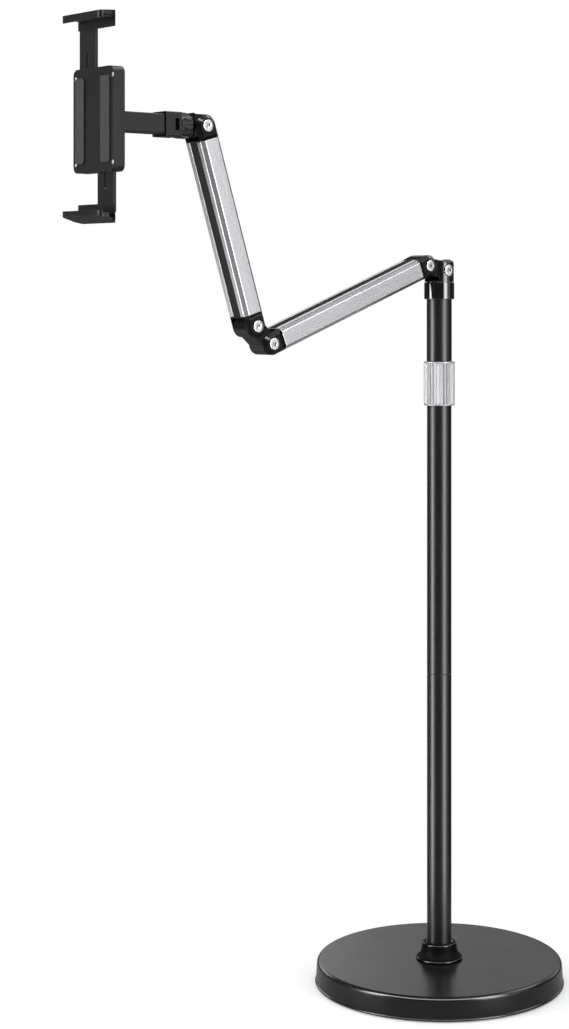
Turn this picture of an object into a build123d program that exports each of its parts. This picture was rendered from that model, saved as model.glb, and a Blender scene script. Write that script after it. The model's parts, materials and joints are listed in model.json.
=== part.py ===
"""Adjustable tablet floor stand in millimetres, +Z up, its front towards -Y.

The origin is the middle of the base's underside, on the floor. The arms lie in the plane X = 0, and
every arm hinge turns about an axis along X. A place on the stand is written as (forward, up), where
forward is the distance from the pole's axis towards -Y.
"""

from build123d import *
from math import cos, radians, sin, sqrt
import os

# Fits and gaps shared by the whole stand
press_gap = 0.05  # radial gap of a pressed, glued or screwed fit
running_gap = 0.08  # radial gap of a piece that turns or slides on another
slide_gap = 0.3  # gap between faces that pass each other
axial_play = 0.1  # play along a pivot
overrun = 2.0  # how far a cutter passes the face that it cuts
near_share = 0.01  # how near, as a share of a size, counts as being there

# Base
base_radius = 124.2  # over the rolled lip
base_height = 23.0  # floor to the top of the cover
lip_lift = 0.8  # floor to the underside of the lip
lip_height = 2.2
lip_step = 1.0  # the side wall stands this far inside the lip
cover_draft = 1.0  # radius that the side wall loses up to its top
cover_wall = 1.5
cover_edge_radius = 4.0
mat_inset = 1.5  # the mat's edge stands this far inside the weight's
mat_thickness = 2.0
weight_side_gap = 1.2  # to the inside of the cover's drawn-in side
weight_thickness = 13.0
weight_boss_radius = 40.0
base_bolt_radius = 5.0
base_bolt_head_flats = 16.0
base_bolt_head_height = 6.4
base_bolt_thread = 26.0  # length in the foot plug
base_washer_radius = 10.5
base_washer_thickness = 2.0
bolt_pocket_radius = 12.5
bolt_pocket_depth = 9.4

# Boot at the foot of the pole
boot_foot_radius = 23.2
boot_waist_radius = 18.8
boot_waist_height = 6.0
boot_top_radius = 17.8
boot_height = 16.8
boot_edge_height = 0.8

# Pole tubes
pole_radius = 12.2
pole_wall = 1.2
seam_height = 308.0  # floor to the seam between the two lower tubes
seam_chamfer = 0.4
foot_plug_length = 36.0
joiner_length = 50.0
joiner_bore_radius = 7.0

# Height lock
collar_radius = 15.5
collar_bottom = 575.8
collar_length = 43.7
collar_top_wall = 3.5
collar_edge_chamfer = 0.8
collar_bands = 3.2  # smooth band at each end of the flutes
flute_count = 40
flute_radius = 0.6
flute_depth = 0.4
thread_bush_thickness = 1.45
thread_bush_length = 19.0
thread_bush_rise = 2.0  # from the collar's lower end
collet_length = 17.3
collet_foot_height = 2.0
collet_taper = 1.1
collet_slot_width = 1.2
collet_slot_count = 4

# Sliding tube and upper sleeve
slide_wall = 1.2
slide_foot_clear = 1.3  # lowest end above the joiner
foot_bush_flange = 3.0
foot_bush_spigot = 14.0
sleeve_radius = 12.55
sleeve_visible_length = 62.0
top_plug_length = 26.0

# Swivel on top of the pole
cap_radius = 15.05
cap_height = 16.9
cap_socket_depth = 4.2
cap_floor = 4.0
cap_rim_wall = 1.85
cap_edge_radius = 0.6
swivel_washer_thickness = 0.6
swivel_washer_inset = 0.7
swivel_bolt_radius = 3.0
swivel_bolt_head_radius = 5.25
swivel_bolt_head_height = 3.3
swivel_bolt_thread = 20.0
swivel_hex_flats = 4.0
swivel_hex_depth = 1.8
swivel_seat_thickness = 4.1  # fork floor left under the bolt head
fork_radius = 14.6
fork_dome_radius = 11.4
fork_shoulder_radius = 6.0  # corner of each cheek, seen from the front
shoulder_rise = 11.7  # top of the swivel cap to the shoulder hinge

# Hinge that every arm joint shares
knuckle_radius = 10.5
tongue_half_width = 10.0
friction_washer_thickness = 0.6
friction_washer_radius = 8.5
pivot_radius = 3.0
pivot_head_radius = 5.6
pivot_head_height = 2.4
pivot_head_edge = 0.5
pivot_hex_flats = 4.0
pivot_hex_depth = 1.5
pivot_tail = 0.4  # thread past the nut
nut_flats = 10.0
nut_height = 3.2
seat_radius = 6.0
seat_depth = 1.4
web_gap = 0.7  # round a knuckle, to the web between the cheeks

# Arms
arm_width = 29.0
arm_depth = 21.0
arm_chamfer = 3.4
channel_width = 10.6
channel_depth = 3.0
strip_thickness = 2.2
strip_side_gap = 0.1
arm_side_wall = 2.4
channel_floor_wall = 1.6
fork_reach = 12.4  # hinge to the end of the aluminium
fork_plug_length = 15.0
fork_plug_chamfer = 0.8
link_length = 25.0
link_waist_half = 8.4
link_waist_fillet = 3.0
link_edge_radius = 0.7
lower_arm_length = 208.8  # hinge to hinge
upper_arm_length = 191.4

# Angles above the forward horizontal
shoulder_link_angle = 10.5
lower_arm_angle = -20.8
elbow_link_angle = 41.1
upper_arm_angle = 72.6

# Ball joint behind the holder, measured from the head hinge or from the ball's middle
ball_reach = 19.7  # head hinge to the ball's middle
ball_radius = 7.5
ball_stem_radius = 3.8
stem_root_share = 0.25  # how deep the stem roots in the knuckle, as a share of its wall
head_rim_half = 11.8
head_rim_wall = 0.4  # flat left round the dish, above and below it
head_edge_radius = 0.6
liner_thickness = 0.64
liner_start = 1.0  # ahead of the ball's middle, so that the nut's wall clears it when tilted
finger_radius = 10.0
finger_rear = 2.9
finger_slot_width = 1.2
finger_slot_count = 4
nut_rear = 5.5
nut_front = 6.5
nut_rear_wall = 2.2
nut_opening_radius = 7.0
nut_opening_rear_radius = 8.0
nut_core_radius = 11.4
nut_rib_height = 0.8
nut_rib_width = 1.8
nut_rib_count = 16

# Neck from the ball joint to the holder
neck_box_half_width = 11.0
neck_box_half_height = 11.25
neck_box_length = 17.2
neck_stem_half = 9.0
neck_edge_radius = 1.2
neck_end = 397.9  # pole's axis to the back of the holder
window_start = 2.7
window_length = 4.5
window_height = 11.0
window_depth = 5.0
flange_half = 20.0
flange_thickness = 4.0
flange_corner = 4.0
flange_screw_place = 15.5
flange_screw_radius = 1.5
flange_screw_head_radius = 2.8
flange_screw_head_height = 2.0
flange_screw_grip = 4.0

# Holder housing
housing_half_width = 32.0
housing_half_height = 46.0
housing_corner = 6.0
housing_side_wall = 4.8
housing_rib_half = 1.6
back_plate_thickness = 5.4
bar_thickness = 3.0
cover_thickness = 3.0
rest_pad_thickness = 1.6
rest_pad_width = 14.0
rest_pad_height = 76.0
rest_pad_place = 20.0
rest_pad_corner = 3.0
brake_pad_thickness = 1.7
brake_pad_width = 12.0
brake_pad_height = 8.0
brake_pad_place = 24.0  # from the head axis, up and down
cover_screw_radius = 1.2
cover_screw_head_radius = 2.3
cover_screw_head_height = 1.5
cover_screw_inset = 2.4
cover_screw_grip = 6.9
cover_screw_height = 38.0
stop_boss_radius = 1.8
stop_boss_height = 34.0  # from the head axis

# Jaws
jaw_half_width = 31.2
jaw_front = 423.4  # pole's axis to the front of the lips
lip_thickness = 3.0
lip_overlap = 2.0  # how far a lip stands over the slot
jaw_front_corner = 4.0
jaw_rear_corner = 8.0
jaw_pad_thickness = 1.2
jaw_pad_side_inset = 4.0
upper_reach = 88.7  # head axis to the face of the upper pad
lower_reach = 81.7
upper_plate_front = 3.0
upper_plate_rear = 4.4
lower_front_drop = 2.8  # outer face below the pad's face, at the front
lower_rear_drop = 8.9
lower_floor_thickness = 2.2
lower_pad_depth = 9.0
jaw_wall_height = 8.0
bar_tail = 18.0  # past the head axis
jaw_in = 25.0  # travel towards the head axis
jaw_out = 40.0
slot_end_gap = 0.3

# Radii of the base
side_radius = base_radius - lip_step
side_top_radius = side_radius - cover_draft
weight_radius = side_top_radius - cover_wall - weight_side_gap
mat_radius = weight_radius - mat_inset

# Heights of the pole, from the floor up
weight_top = base_height - cover_wall
tube_bore = pole_radius - pole_wall
slide_radius = tube_bore - slide_gap
slide_bore = slide_radius - slide_wall
collar_top = collar_bottom + collar_length
collar_bore = pole_radius + press_gap + thread_bush_thickness + running_gap
bush_bottom = collar_bottom + thread_bush_rise
middle_tube_top = bush_bottom + thread_bush_length
sleeve_bottom = collar_top + slide_gap
cap_bottom = sleeve_bottom + sleeve_visible_length
tube_top = cap_bottom + cap_socket_depth
cap_recess_floor = tube_top + cap_floor
cap_top = cap_bottom + cap_height
slide_bottom = seam_height + joiner_length / 2 + slide_foot_clear + foot_bush_flange
shoulder_height = cap_top + shoulder_rise

# Stations along a hinge, from the arm's middle plane
cheek_inner = tongue_half_width + friction_washer_thickness + axial_play
cheek_outer = arm_width / 2
seat_station = cheek_outer - seat_depth
pivot_end = seat_station + nut_height + pivot_tail
web_start = knuckle_radius + web_gap

# Heights of the swivel fork, from the floor up
fork_foot = cap_recess_floor + swivel_washer_thickness + axial_play
fork_seat = fork_foot + swivel_seat_thickness
fork_bottom = cap_top + slide_gap
slot_floor = shoulder_height - web_start

# Radii round the ball
socket_radius = ball_radius + running_gap + liner_thickness + slide_gap
nut_outer_radius = nut_core_radius + nut_rib_height
head_dish_radius = sqrt(nut_outer_radius**2 + nut_rear**2) + slide_gap + axial_play


def step_from(place, length, angle):
    """The place that lies a length away at an angle above the forward horizontal."""
    return place[0] + length * cos(radians(angle)), place[1] + length * sin(radians(angle))


# Hinges of the arm chain, as (forward, up)
shoulder = (0, shoulder_height)
shoulder_end = step_from(shoulder, link_length, shoulder_link_angle)
elbow = step_from(shoulder_end, lower_arm_length, lower_arm_angle)
elbow_end = step_from(elbow, link_length, elbow_link_angle)
head = step_from(elbow_end, upper_arm_length, upper_arm_angle)
head_height = head[1]
ball_place = (head[0] + ball_reach, head_height)

# Stations of the holder, from the pole's axis forward
back_plate_front = neck_end + back_plate_thickness
bar_rear = back_plate_front + slide_gap
bar_front = bar_rear + bar_thickness
cover_rear = bar_front + slide_gap
cover_front = cover_rear + cover_thickness
slot_rear = cover_front + rest_pad_thickness
lip_rear = jaw_front - lip_thickness
bar_outer = housing_half_width - housing_side_wall - slide_gap
bar_inner = housing_rib_half + slide_gap
bar_middle = (bar_outer + bar_inner) / 2


def turned(*outline):
    """A piece turned about Z, from an outline of (radius, height) points."""
    corners = [(radius, 0, height) for radius, height in outline]
    return revolve(make_face(Polyline(*corners, close=True)), Axis.Z)


def tube(outer, inner, low, high):
    return turned((inner, low), (outer, low), (outer, high), (inner, high))


def rod(radius, low, high):
    """A plain round rod on Z."""
    foot = (Align.CENTER, Align.CENTER, Align.MIN)
    return Pos(0, 0, low) * Cylinder(radius, high - low, align=foot)


def block(x_low, x_high, forward_low, forward_high, low, high):
    """A rectangular block given by its limits across, forward and up."""
    size = (x_high - x_low, forward_high - forward_low, high - low)
    middle = ((x_low + x_high) / 2, -(forward_low + forward_high) / 2, (low + high) / 2)
    return Pos(*middle) * Box(*size)


def across(sketch, x_low, x_high):
    """A side view, drawn as (forward, up), given its width across the stand."""
    side = Plane(origin=(x_high, 0, 0), x_dir=(0, -1, 0), z_dir=(-1, 0, 0))
    return extrude(side * sketch, amount=x_high - x_low)


def ahead(sketch, start, end):
    """A front view, drawn as (across, up), given its depth from start forward to end."""
    front = Plane(origin=(0, -start, 0), x_dir=(1, 0, 0), z_dir=(0, -1, 0))
    return extrude(front * sketch, amount=end - start)


def above(sketch, low, high):
    """A plan view, drawn as (across, -forward), given its height."""
    return extrude(Plane(origin=(0, 0, low)) * sketch, amount=high - low)


def crosswise(piece):
    """Lay a piece built up along Z along +X."""
    return Rot(Y=90) * piece


def forwards(piece):
    """Lay a piece built up along Z along the forward direction."""
    return Rot(X=90) * piece


def place_at(place, angle, piece):
    """Put a piece built at the origin, pointing forward, at a place of the arm chain."""
    return Pos(0, -place[0], place[1]) * Rot(X=-angle) * piece


def hexagon_bar(flats, low, high):
    return Pos(0, 0, low) * extrude(RegularPolygon(flats / 2, 6, major_radius=False), high - low)


def rounded_plate(half_width, half_height, corner):
    return RectangleRounded(2 * half_width, 2 * half_height, corner)


# Base


def base_rubber_mat():
    return rod(mat_radius, 0, mat_thickness)


def base_counterweight():
    weight = rod(weight_radius, mat_thickness, mat_thickness + weight_thickness)
    weight += rod(weight_boss_radius, mat_thickness, weight_top)
    pocket_top = mat_thickness + bolt_pocket_depth
    weight -= rod(bolt_pocket_radius, mat_thickness - overrun, pocket_top)
    return weight - rod(base_bolt_radius + press_gap, 0, base_height)


def base_cover():
    """Pressed cover with a rolled lip, a slightly drawn-in side and a rounded top edge."""
    lip_top = lip_lift + lip_height
    cover = turned(
        (0, lip_lift),
        (base_radius, lip_lift),
        (base_radius, lip_top),
        (side_radius, lip_top),
        (side_top_radius, base_height),
        (0, base_height),
    )
    cover = fillet(cover.edges().filter_by(GeomType.CIRCLE).group_by(Axis.Z)[-1], cover_edge_radius)
    inner_edge = cover_edge_radius - cover_wall
    hollow = turned(
        (0, lip_lift - overrun),
        (side_radius - cover_wall, lip_lift - overrun),
        (side_radius - cover_wall, lip_top),
        (side_top_radius - cover_wall, weight_top),
        (0, weight_top),
    )
    hollow = fillet(hollow.edges().filter_by(GeomType.CIRCLE).group_by(Axis.Z)[-1], inner_edge)
    return cover - hollow - rod(tube_bore, 0, base_height + overrun)


def base_fixing_bolt():
    head_top = mat_thickness + bolt_pocket_depth - base_washer_thickness
    bolt = hexagon_bar(base_bolt_head_flats, head_top - base_bolt_head_height, head_top)
    return bolt + rod(base_bolt_radius, head_top, weight_top + base_bolt_thread)


def base_fixing_washer():
    top = mat_thickness + bolt_pocket_depth
    inner = base_bolt_radius + press_gap
    return tube(base_washer_radius, inner, top - base_washer_thickness, top)


# Pole


def pole_boot():
    """Flared collar that hides where the pole meets the base."""
    inner = pole_radius + press_gap
    top = base_height + boot_height
    foot = base_height + boot_edge_height
    flare = ThreePointArc(
        (boot_foot_radius, 0, foot),
        (boot_waist_radius, 0, base_height + boot_waist_height),
        (boot_top_radius, 0, top),
    )
    rest = Polyline(
        (boot_top_radius, 0, top),
        (inner, 0, top),
        (inner, 0, base_height),
        (boot_foot_radius, 0, base_height),
        (boot_foot_radius, 0, foot),
    )
    return revolve(make_face([flare, rest]), Axis.Z)


def pole_foot_plug():
    plug = rod(tube_bore - press_gap, weight_top, weight_top + foot_plug_length)
    return plug - rod(base_bolt_radius + press_gap, 0, weight_top + foot_plug_length + overrun)


def lower_pole_tube():
    pole = tube(pole_radius, tube_bore, base_height, seam_height)
    return chamfer(outer_rim(pole, -1), seam_chamfer)


def pole_joiner():
    half = joiner_length / 2
    return tube(tube_bore - press_gap, joiner_bore_radius, seam_height - half, seam_height + half)


def middle_pole_tube():
    pole = tube(pole_radius, tube_bore, seam_height, middle_tube_top)
    return chamfer(outer_rim(pole, 0), seam_chamfer)


def outer_rim(piece, group):
    """The widest circular edge at one end of a turned piece."""
    rims = piece.edges().filter_by(GeomType.CIRCLE).group_by(Axis.Z)[group]
    return rims.sort_by(SortBy.RADIUS)[-1]


# Height lock


def clamp_thread_bush():
    inner = pole_radius + press_gap
    return tube(inner + thread_bush_thickness, inner, bush_bottom, middle_tube_top)


def clamp_collet():
    """Split sleeve that the collar squeezes onto the sliding tube."""
    inner = slide_radius + running_gap
    foot_radius = collar_bore - slide_gap
    foot_top = middle_tube_top + collet_foot_height
    top = middle_tube_top + collet_length
    collet = turned(
        (inner, middle_tube_top),
        (foot_radius, middle_tube_top),
        (foot_radius, foot_top),
        (foot_radius - collet_taper, top),
        (inner, top),
    )
    slot = Box(2 * collar_radius, collet_slot_width, top - foot_top)
    for turn in range(collet_slot_count // 2):
        angle = 360 * turn / collet_slot_count
        collet -= Pos(0, 0, (top + foot_top) / 2 + slide_gap) * Rot(Z=angle) * slot
    return collet


def height_lock_collar():
    """Fluted twist collar with a taper inside."""
    taper_bottom = middle_tube_top + collet_foot_height
    taper_top = collar_top - collar_top_wall
    hole = slide_radius + slide_gap
    collar = turned(
        (collar_bore, collar_bottom),
        (collar_radius, collar_bottom),
        (collar_radius, collar_top),
        (hole, collar_top),
        (hole, taper_top),
        (collar_bore - collet_taper, taper_top),
        (collar_bore, taper_bottom),
    )
    for end in (0, -1):
        collar = chamfer(outer_rim(collar, end), collar_edge_chamfer)
    flute = rod(flute_radius, collar_bottom + collar_bands, collar_top - collar_bands)
    flute_circle = collar_radius + flute_radius - flute_depth
    return collar - (PolarLocations(flute_circle, flute_count) * flute)


# Sliding tube, sleeve and swivel


def slide_foot_bush():
    """Nylon bush that guides the sliding tube's lower end in the pole."""
    bottom = slide_bottom - foot_bush_flange
    return rod(tube_bore - running_gap, bottom, slide_bottom) + rod(
        slide_bore - press_gap, slide_bottom, slide_bottom + foot_bush_spigot
    )


def inner_slide_tube():
    return tube(slide_radius, slide_bore, slide_bottom, tube_top)


def upper_sleeve_tube():
    return tube(sleeve_radius, slide_radius + press_gap, sleeve_bottom, tube_top)


def tube_top_plug():
    bottom = tube_top - top_plug_length
    return tube(slide_bore - press_gap, swivel_bolt_radius + press_gap, bottom, tube_top)


def swivel_cap():
    """Glossy cap that closes the sleeve and carries the swivel."""
    socket = sleeve_radius + press_gap
    recess = cap_radius - cap_rim_wall
    bolt_hole = swivel_bolt_radius + press_gap
    cap = turned(
        (socket, cap_bottom),
        (cap_radius, cap_bottom),
        (cap_radius, cap_top),
        (recess, cap_top),
        (recess, cap_recess_floor),
        (bolt_hole, cap_recess_floor),
        (bolt_hole, tube_top),
        (socket, tube_top),
    )
    for end in (0, -1):
        cap = fillet(outer_rim(cap, end), cap_edge_radius)
    return cap


def swivel_washer():
    outer = cap_radius - cap_rim_wall - swivel_washer_inset
    top = cap_recess_floor + swivel_washer_thickness
    return tube(outer, swivel_bolt_radius + slide_gap, cap_recess_floor, top)


def swivel_bolt():
    seat = fork_seat + axial_play
    bolt = rod(swivel_bolt_radius, tube_top - swivel_bolt_thread, seat)
    bolt += rod(swivel_bolt_head_radius, seat, seat + swivel_bolt_head_height)
    head_top = seat + swivel_bolt_head_height
    return bolt - hexagon_bar(swivel_hex_flats, head_top - swivel_hex_depth, head_top + overrun)


def hinge_bore():
    """Bolt hole through a fork, with a seat for the bolt's head and one for the nut."""
    reach = cheek_outer + overrun
    bore = rod(pivot_radius + press_gap, -reach, reach)
    bore += rod(seat_radius, seat_station, reach)
    return crosswise(bore + rod(seat_radius, -reach, -seat_station))


def swivel_fork():
    """Slotted round head with a domed top, turning in the cap."""
    body = rod(fork_radius, fork_bottom, shoulder_height + fork_radius)
    side = Pos(0, shoulder_height) * Circle(fork_dome_radius)
    middle = (fork_bottom + shoulder_height) / 2
    side += Pos(0, middle) * Rectangle(2 * fork_radius, shoulder_height - fork_bottom)
    crown = shoulder_height + fork_dome_radius
    front = Rectangle(2 * fork_radius, crown - fork_bottom)
    front = fillet(front.vertices().group_by(Axis.Y)[-1], fork_shoulder_radius)
    front = Pos(0, (crown + fork_bottom) / 2) * front
    fork = body & across(side, -fork_radius, fork_radius) & ahead(front, -fork_radius, fork_radius)
    fork += rod(cap_radius - cap_rim_wall - slide_gap, fork_foot, fork_bottom)
    top = shoulder_height + fork_radius
    fork -= block(-cheek_inner, cheek_inner, -fork_radius, fork_radius, slot_floor, top)
    fork -= rod(swivel_bolt_head_radius + slide_gap, fork_seat, top)
    fork -= rod(swivel_bolt_radius + running_gap, fork_foot - overrun, fork_seat + overrun)
    return fork - Pos(0, 0, shoulder_height) * hinge_bore()


# Hinge hardware, built round the origin


def pivot_bolt():
    """Low round head with a hexagon socket on the +X side."""
    head_end = seat_station + pivot_head_height
    bolt_head = rod(pivot_head_radius, seat_station, head_end)
    bolt_head = fillet(outer_rim(bolt_head, -1), pivot_head_edge)
    bolt = bolt_head + rod(pivot_radius, -pivot_end, seat_station)
    bolt -= hexagon_bar(pivot_hex_flats, head_end - pivot_hex_depth, head_end + overrun)
    return crosswise(bolt)


def pivot_nut():
    end = seat_station + nut_height
    nut = hexagon_bar(nut_flats, -end, -seat_station)
    return crosswise(nut - rod(pivot_radius + press_gap, -end - overrun, 0))


def friction_washers():
    inner = pivot_radius + slide_gap
    start = cheek_inner - friction_washer_thickness
    washer = crosswise(tube(friction_washer_radius, inner, start, cheek_inner))
    other = crosswise(tube(friction_washer_radius, inner, -cheek_inner, -start))
    return [washer, other]


def tongue_bore():
    return crosswise(rod(pivot_radius + running_gap, -cheek_outer, cheek_outer))


def knuckle_link():
    """Peanut-shaped link with a tongue at each end."""
    side = Circle(knuckle_radius) + Pos(link_length, 0) * Circle(knuckle_radius)
    side += Pos(link_length / 2, 0) * Rectangle(link_length, 2 * link_waist_half)
    corners = side.vertices().filter_by(
        lambda corner: abs(abs(corner.Y) - link_waist_half) < link_waist_half * near_share
    )
    side = fillet(corners, link_waist_fillet)
    link = across(side, -tongue_half_width, tongue_half_width)
    rims = link.faces().sort_by(Axis.X)[0].edges() + link.faces().sort_by(Axis.X)[-1].edges()
    link = fillet(rims, link_edge_radius)
    link -= tongue_bore()
    return link - Pos(0, -link_length, 0) * tongue_bore()


# Arms, built with the rear hinge at the origin and pointing forward


def arm_profile(length):
    """Extruded aluminium with a dark channel along its top and bottom."""
    section = chamfer(Rectangle(arm_width, arm_depth).vertices(), arm_chamfer)
    floor = arm_depth / 2 - channel_depth
    section -= Rectangle(arm_width - 2 * arm_side_wall, 2 * (floor - channel_floor_wall))
    for side in (-1, 1):
        middle = side * (floor + channel_depth / 2)
        section -= Pos(0, middle) * Rectangle(channel_width, channel_depth)
    return ahead(section, fork_reach, length - fork_reach)


def arm_strips(length):
    """Plastic strips lying in the two channels."""
    half = channel_width / 2 - strip_side_gap
    floor = arm_depth / 2 - channel_depth
    top = floor + strip_thickness
    upper = block(-half, half, fork_reach, length - fork_reach, floor, top)
    lower = block(-half, half, fork_reach, length - fork_reach, -top, -floor)
    return [upper, lower]


def arm_fork():
    """End fitting: two cheeks round a knuckle, a web, and a plug in the aluminium."""
    side = Circle(arm_depth / 2) + Pos(fork_reach / 2, 0) * Rectangle(fork_reach, arm_depth)
    fork = across(side, -cheek_outer, cheek_outer)
    for end in (0, -1):
        rim = fork.faces().sort_by(Axis.X)[end].edges()
        outer = rim.filter_by(lambda edge: edge.center().Y > -fork_reach * (1 - near_share))
        fork = chamfer(outer, arm_chamfer)
    half = arm_depth / 2 + overrun
    fork -= block(-cheek_inner, cheek_inner, -half, web_start, -half, half)
    plug_half_width = arm_width / 2 - arm_side_wall - press_gap
    plug_half_depth = arm_depth / 2 - channel_depth - channel_floor_wall - press_gap
    end = fork_reach + fork_plug_length
    plug = block(-plug_half_width, plug_half_width, web_start, end, -plug_half_depth, plug_half_depth)
    plug = chamfer(plug.faces().sort_by(Axis.Y)[0].edges(), fork_plug_chamfer)
    return fork + plug - hinge_bore()


def front_fork(length):
    return Pos(0, -length, 0) * Rot(Z=180) * arm_fork()


def pair_along(length, piece):
    """One copy of a hinge piece at each end of an arm."""
    return [piece, Pos(0, -length, 0) * piece]


# Ball joint, built round the ball's middle and pointing forward


def head_knuckle():
    """Tongue of the head hinge, dished in front, with the ball on its stem."""
    rim = ball_reach - sqrt(head_dish_radius**2 - (head_rim_half - head_rim_wall) ** 2)
    flare = arm_depth / 2 + slide_gap
    side = Circle(knuckle_radius)
    side += make_face(
        Polyline(
            (0, -knuckle_radius),
            (flare, -knuckle_radius),
            (rim, -head_rim_half),
            (rim, head_rim_half),
            (flare, knuckle_radius),
            (0, knuckle_radius),
            close=True,
        )
    )
    body = across(side, -tongue_half_width, tongue_half_width)
    rims = body.faces().sort_by(Axis.X)[0].edges() + body.faces().sort_by(Axis.X)[-1].edges()
    body = fillet(rims, head_edge_radius)
    body -= Pos(0, -ball_reach, 0) * Sphere(head_dish_radius)
    stem_start = ball_reach - head_dish_radius - (knuckle_radius - pivot_radius) * stem_root_share
    body += forwards(rod(ball_stem_radius, stem_start, ball_reach))
    body += Pos(0, -ball_reach, 0) * Sphere(ball_radius)
    return body - tongue_bore()


def ball_liner():
    """Thin spherical cup between the ball and its socket."""
    inner = ball_radius + running_gap
    cup = Sphere(inner + liner_thickness) - Sphere(inner)
    reach = ball_radius + overrun
    return cup - block(-reach, reach, -2 * reach, liner_start, -reach, reach)


def ball_lock_nut():
    """Ribbed ring nut round the socket's fingers."""
    bore = finger_radius + slide_gap
    wall = nut_rear_wall - nut_rear
    nut = turned(
        (nut_opening_rear_radius, -nut_rear),
        (nut_core_radius, -nut_rear),
        (nut_core_radius, nut_front),
        (bore, nut_front),
        (bore, wall),
        (nut_opening_radius, wall),
    )
    root = (bore + nut_core_radius) / 2
    rib_middle = (root + nut_outer_radius) / 2
    rib_length = nut_front + nut_rear
    rib = Box(nut_outer_radius - root, nut_rib_width, rib_length)
    rib = fillet(rib.faces().sort_by(Axis.X)[-1].edges(), nut_rib_height / 2)
    nut += PolarLocations(rib_middle, nut_rib_count) * (Pos(0, 0, (nut_front - nut_rear) / 2) * rib)
    return forwards(nut)


def holder_neck():
    """Socket with split fingers, its square housing, and the neck with its flange."""
    start = nut_front + slide_gap
    box_end = start + neck_box_length
    length = neck_end - ball_place[0]
    neck = forwards(rod(finger_radius, -finger_rear, start + overrun))
    slot = Box(2 * nut_outer_radius, finger_slot_width, finger_rear + nut_front)
    for turn in range(finger_slot_count // 2):
        slot_place = Pos(0, 0, (nut_front - finger_rear) / 2 - overrun)
        neck -= forwards(slot_place * Rot(Z=360 * turn / finger_slot_count) * slot)
    front = Rectangle(2 * neck_box_half_width, 2 * neck_box_half_height)
    box = ahead(front, start, box_end)
    box = fillet(box.edges().filter_by(Axis.Y) + box.faces().sort_by(Axis.Y)[0].edges(), neck_edge_radius)
    neck += box
    stem = ahead(Rectangle(2 * neck_stem_half, 2 * neck_stem_half), box_end - overrun, length)
    neck += fillet(stem.edges().filter_by(Axis.Y), neck_edge_radius)
    neck += ahead(rounded_plate(flange_half, flange_half, flange_corner), length - flange_thickness, length)
    neck -= Sphere(socket_radius)
    window_low = start + window_start
    half = window_height / 2
    for side in (-1, 1):
        inner = side * (neck_box_half_width - window_depth)
        outer = side * (neck_box_half_width + overrun)
        x_low, x_high = min(inner, outer), max(inner, outer)
        neck -= block(x_low, x_high, window_low, window_low + window_length, -half, half)
    hole = forwards(rod(flange_screw_radius + press_gap, 0, length + overrun))
    screw_holes = [Pos(x, 0, z) * hole for x, z in corner_places(flange_screw_place)]
    flange_zone = ahead(Rectangle(2 * flange_half, 2 * flange_half), box_end, length)
    return neck - [screw_hole & flange_zone for screw_hole in screw_holes]


def corner_places(x, z=None):
    """The four corners of a rectangle about the head axis."""
    z = x if z is None else z
    return [(side * x, end * z) for side in (-1, 1) for end in (-1, 1)]


# Holder, built round the head axis with forward counted from the pole's axis


def neck_screws():
    rear = neck_end - flange_thickness
    screw = rod(flange_screw_head_radius, rear - flange_screw_head_height, rear)
    screw += rod(flange_screw_radius, rear, neck_end + flange_screw_grip)
    return [Pos(x, 0, z) * forwards(screw) for x, z in corner_places(flange_screw_place)]


def holder_back_plate():
    """Back of the housing, with side walls, a middle rib and the jaws' stop bosses."""
    outline = rounded_plate(housing_half_width, housing_half_height, housing_corner)
    plate = ahead(outline, neck_end, back_plate_front)
    walls = outline - Rectangle(2 * (bar_outer + slide_gap), 2 * (housing_half_height + overrun))
    walls += Rectangle(2 * housing_rib_half, 2 * housing_half_height)
    plate += ahead(walls, back_plate_front, cover_rear)
    for side in (-1, 1):
        boss = forwards(rod(stop_boss_radius, back_plate_front, cover_rear))
        plate += Pos(side * bar_middle, 0, -side * stop_boss_height) * boss
    hole = forwards(rod(flange_screw_radius + press_gap, neck_end - overrun, neck_end + flange_screw_grip))
    plate -= [Pos(x, 0, z) * hole for x, z in corner_places(flange_screw_place)]
    grip = forwards(rod(cover_screw_radius + press_gap, cover_front - cover_screw_grip, cover_rear + overrun))
    return plate - [Pos(x, 0, z) * grip for x, z in cover_screw_places()]


def cover_screw_places():
    return corner_places(housing_half_width - cover_screw_inset, cover_screw_height)


def holder_front_cover():
    """Front of the housing, with pockets for the brake pads."""
    outline = rounded_plate(housing_half_width, housing_half_height, housing_corner)
    cover = ahead(outline, cover_rear, cover_front)
    for side in (-1, 1):
        cover -= brake_pad_block(side, cover_rear - overrun, press_gap)
    head_seat = cover_front - cover_screw_head_height
    hole = rod(cover_screw_radius + press_gap, cover_rear - overrun, cover_front)
    hole += rod(cover_screw_head_radius + press_gap, head_seat, cover_front + overrun)
    return cover - [Pos(x, 0, z) * forwards(hole) for x, z in cover_screw_places()]


def brake_pad_block(side, rear, spare):
    """One brake pad's block, with spare room round it for its pocket."""
    front = bar_front + axial_play + brake_pad_thickness
    x, z = side * bar_middle, -side * brake_pad_place
    half_width = brake_pad_width / 2 + spare
    half_height = brake_pad_height / 2 + spare
    return block(x - half_width, x + half_width, rear, front, z - half_height, z + half_height)


def jaw_brake_pads():
    return [brake_pad_block(side, bar_front + axial_play, 0) for side in (-1, 1)]


def holder_cover_screws():
    head_seat = cover_front - cover_screw_head_height
    screw = rod(cover_screw_head_radius, head_seat, cover_front)
    screw += rod(cover_screw_radius, cover_front - cover_screw_grip, head_seat)
    return [Pos(x, 0, z) * forwards(screw) for x, z in cover_screw_places()]


def holder_rest_pads():
    outline = rounded_plate(rest_pad_width / 2, rest_pad_height / 2, rest_pad_corner)
    pad = ahead(outline, cover_front, slot_rear)
    return [Pos(side * rest_pad_place, 0, 0) * pad for side in (-1, 1)]


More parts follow.
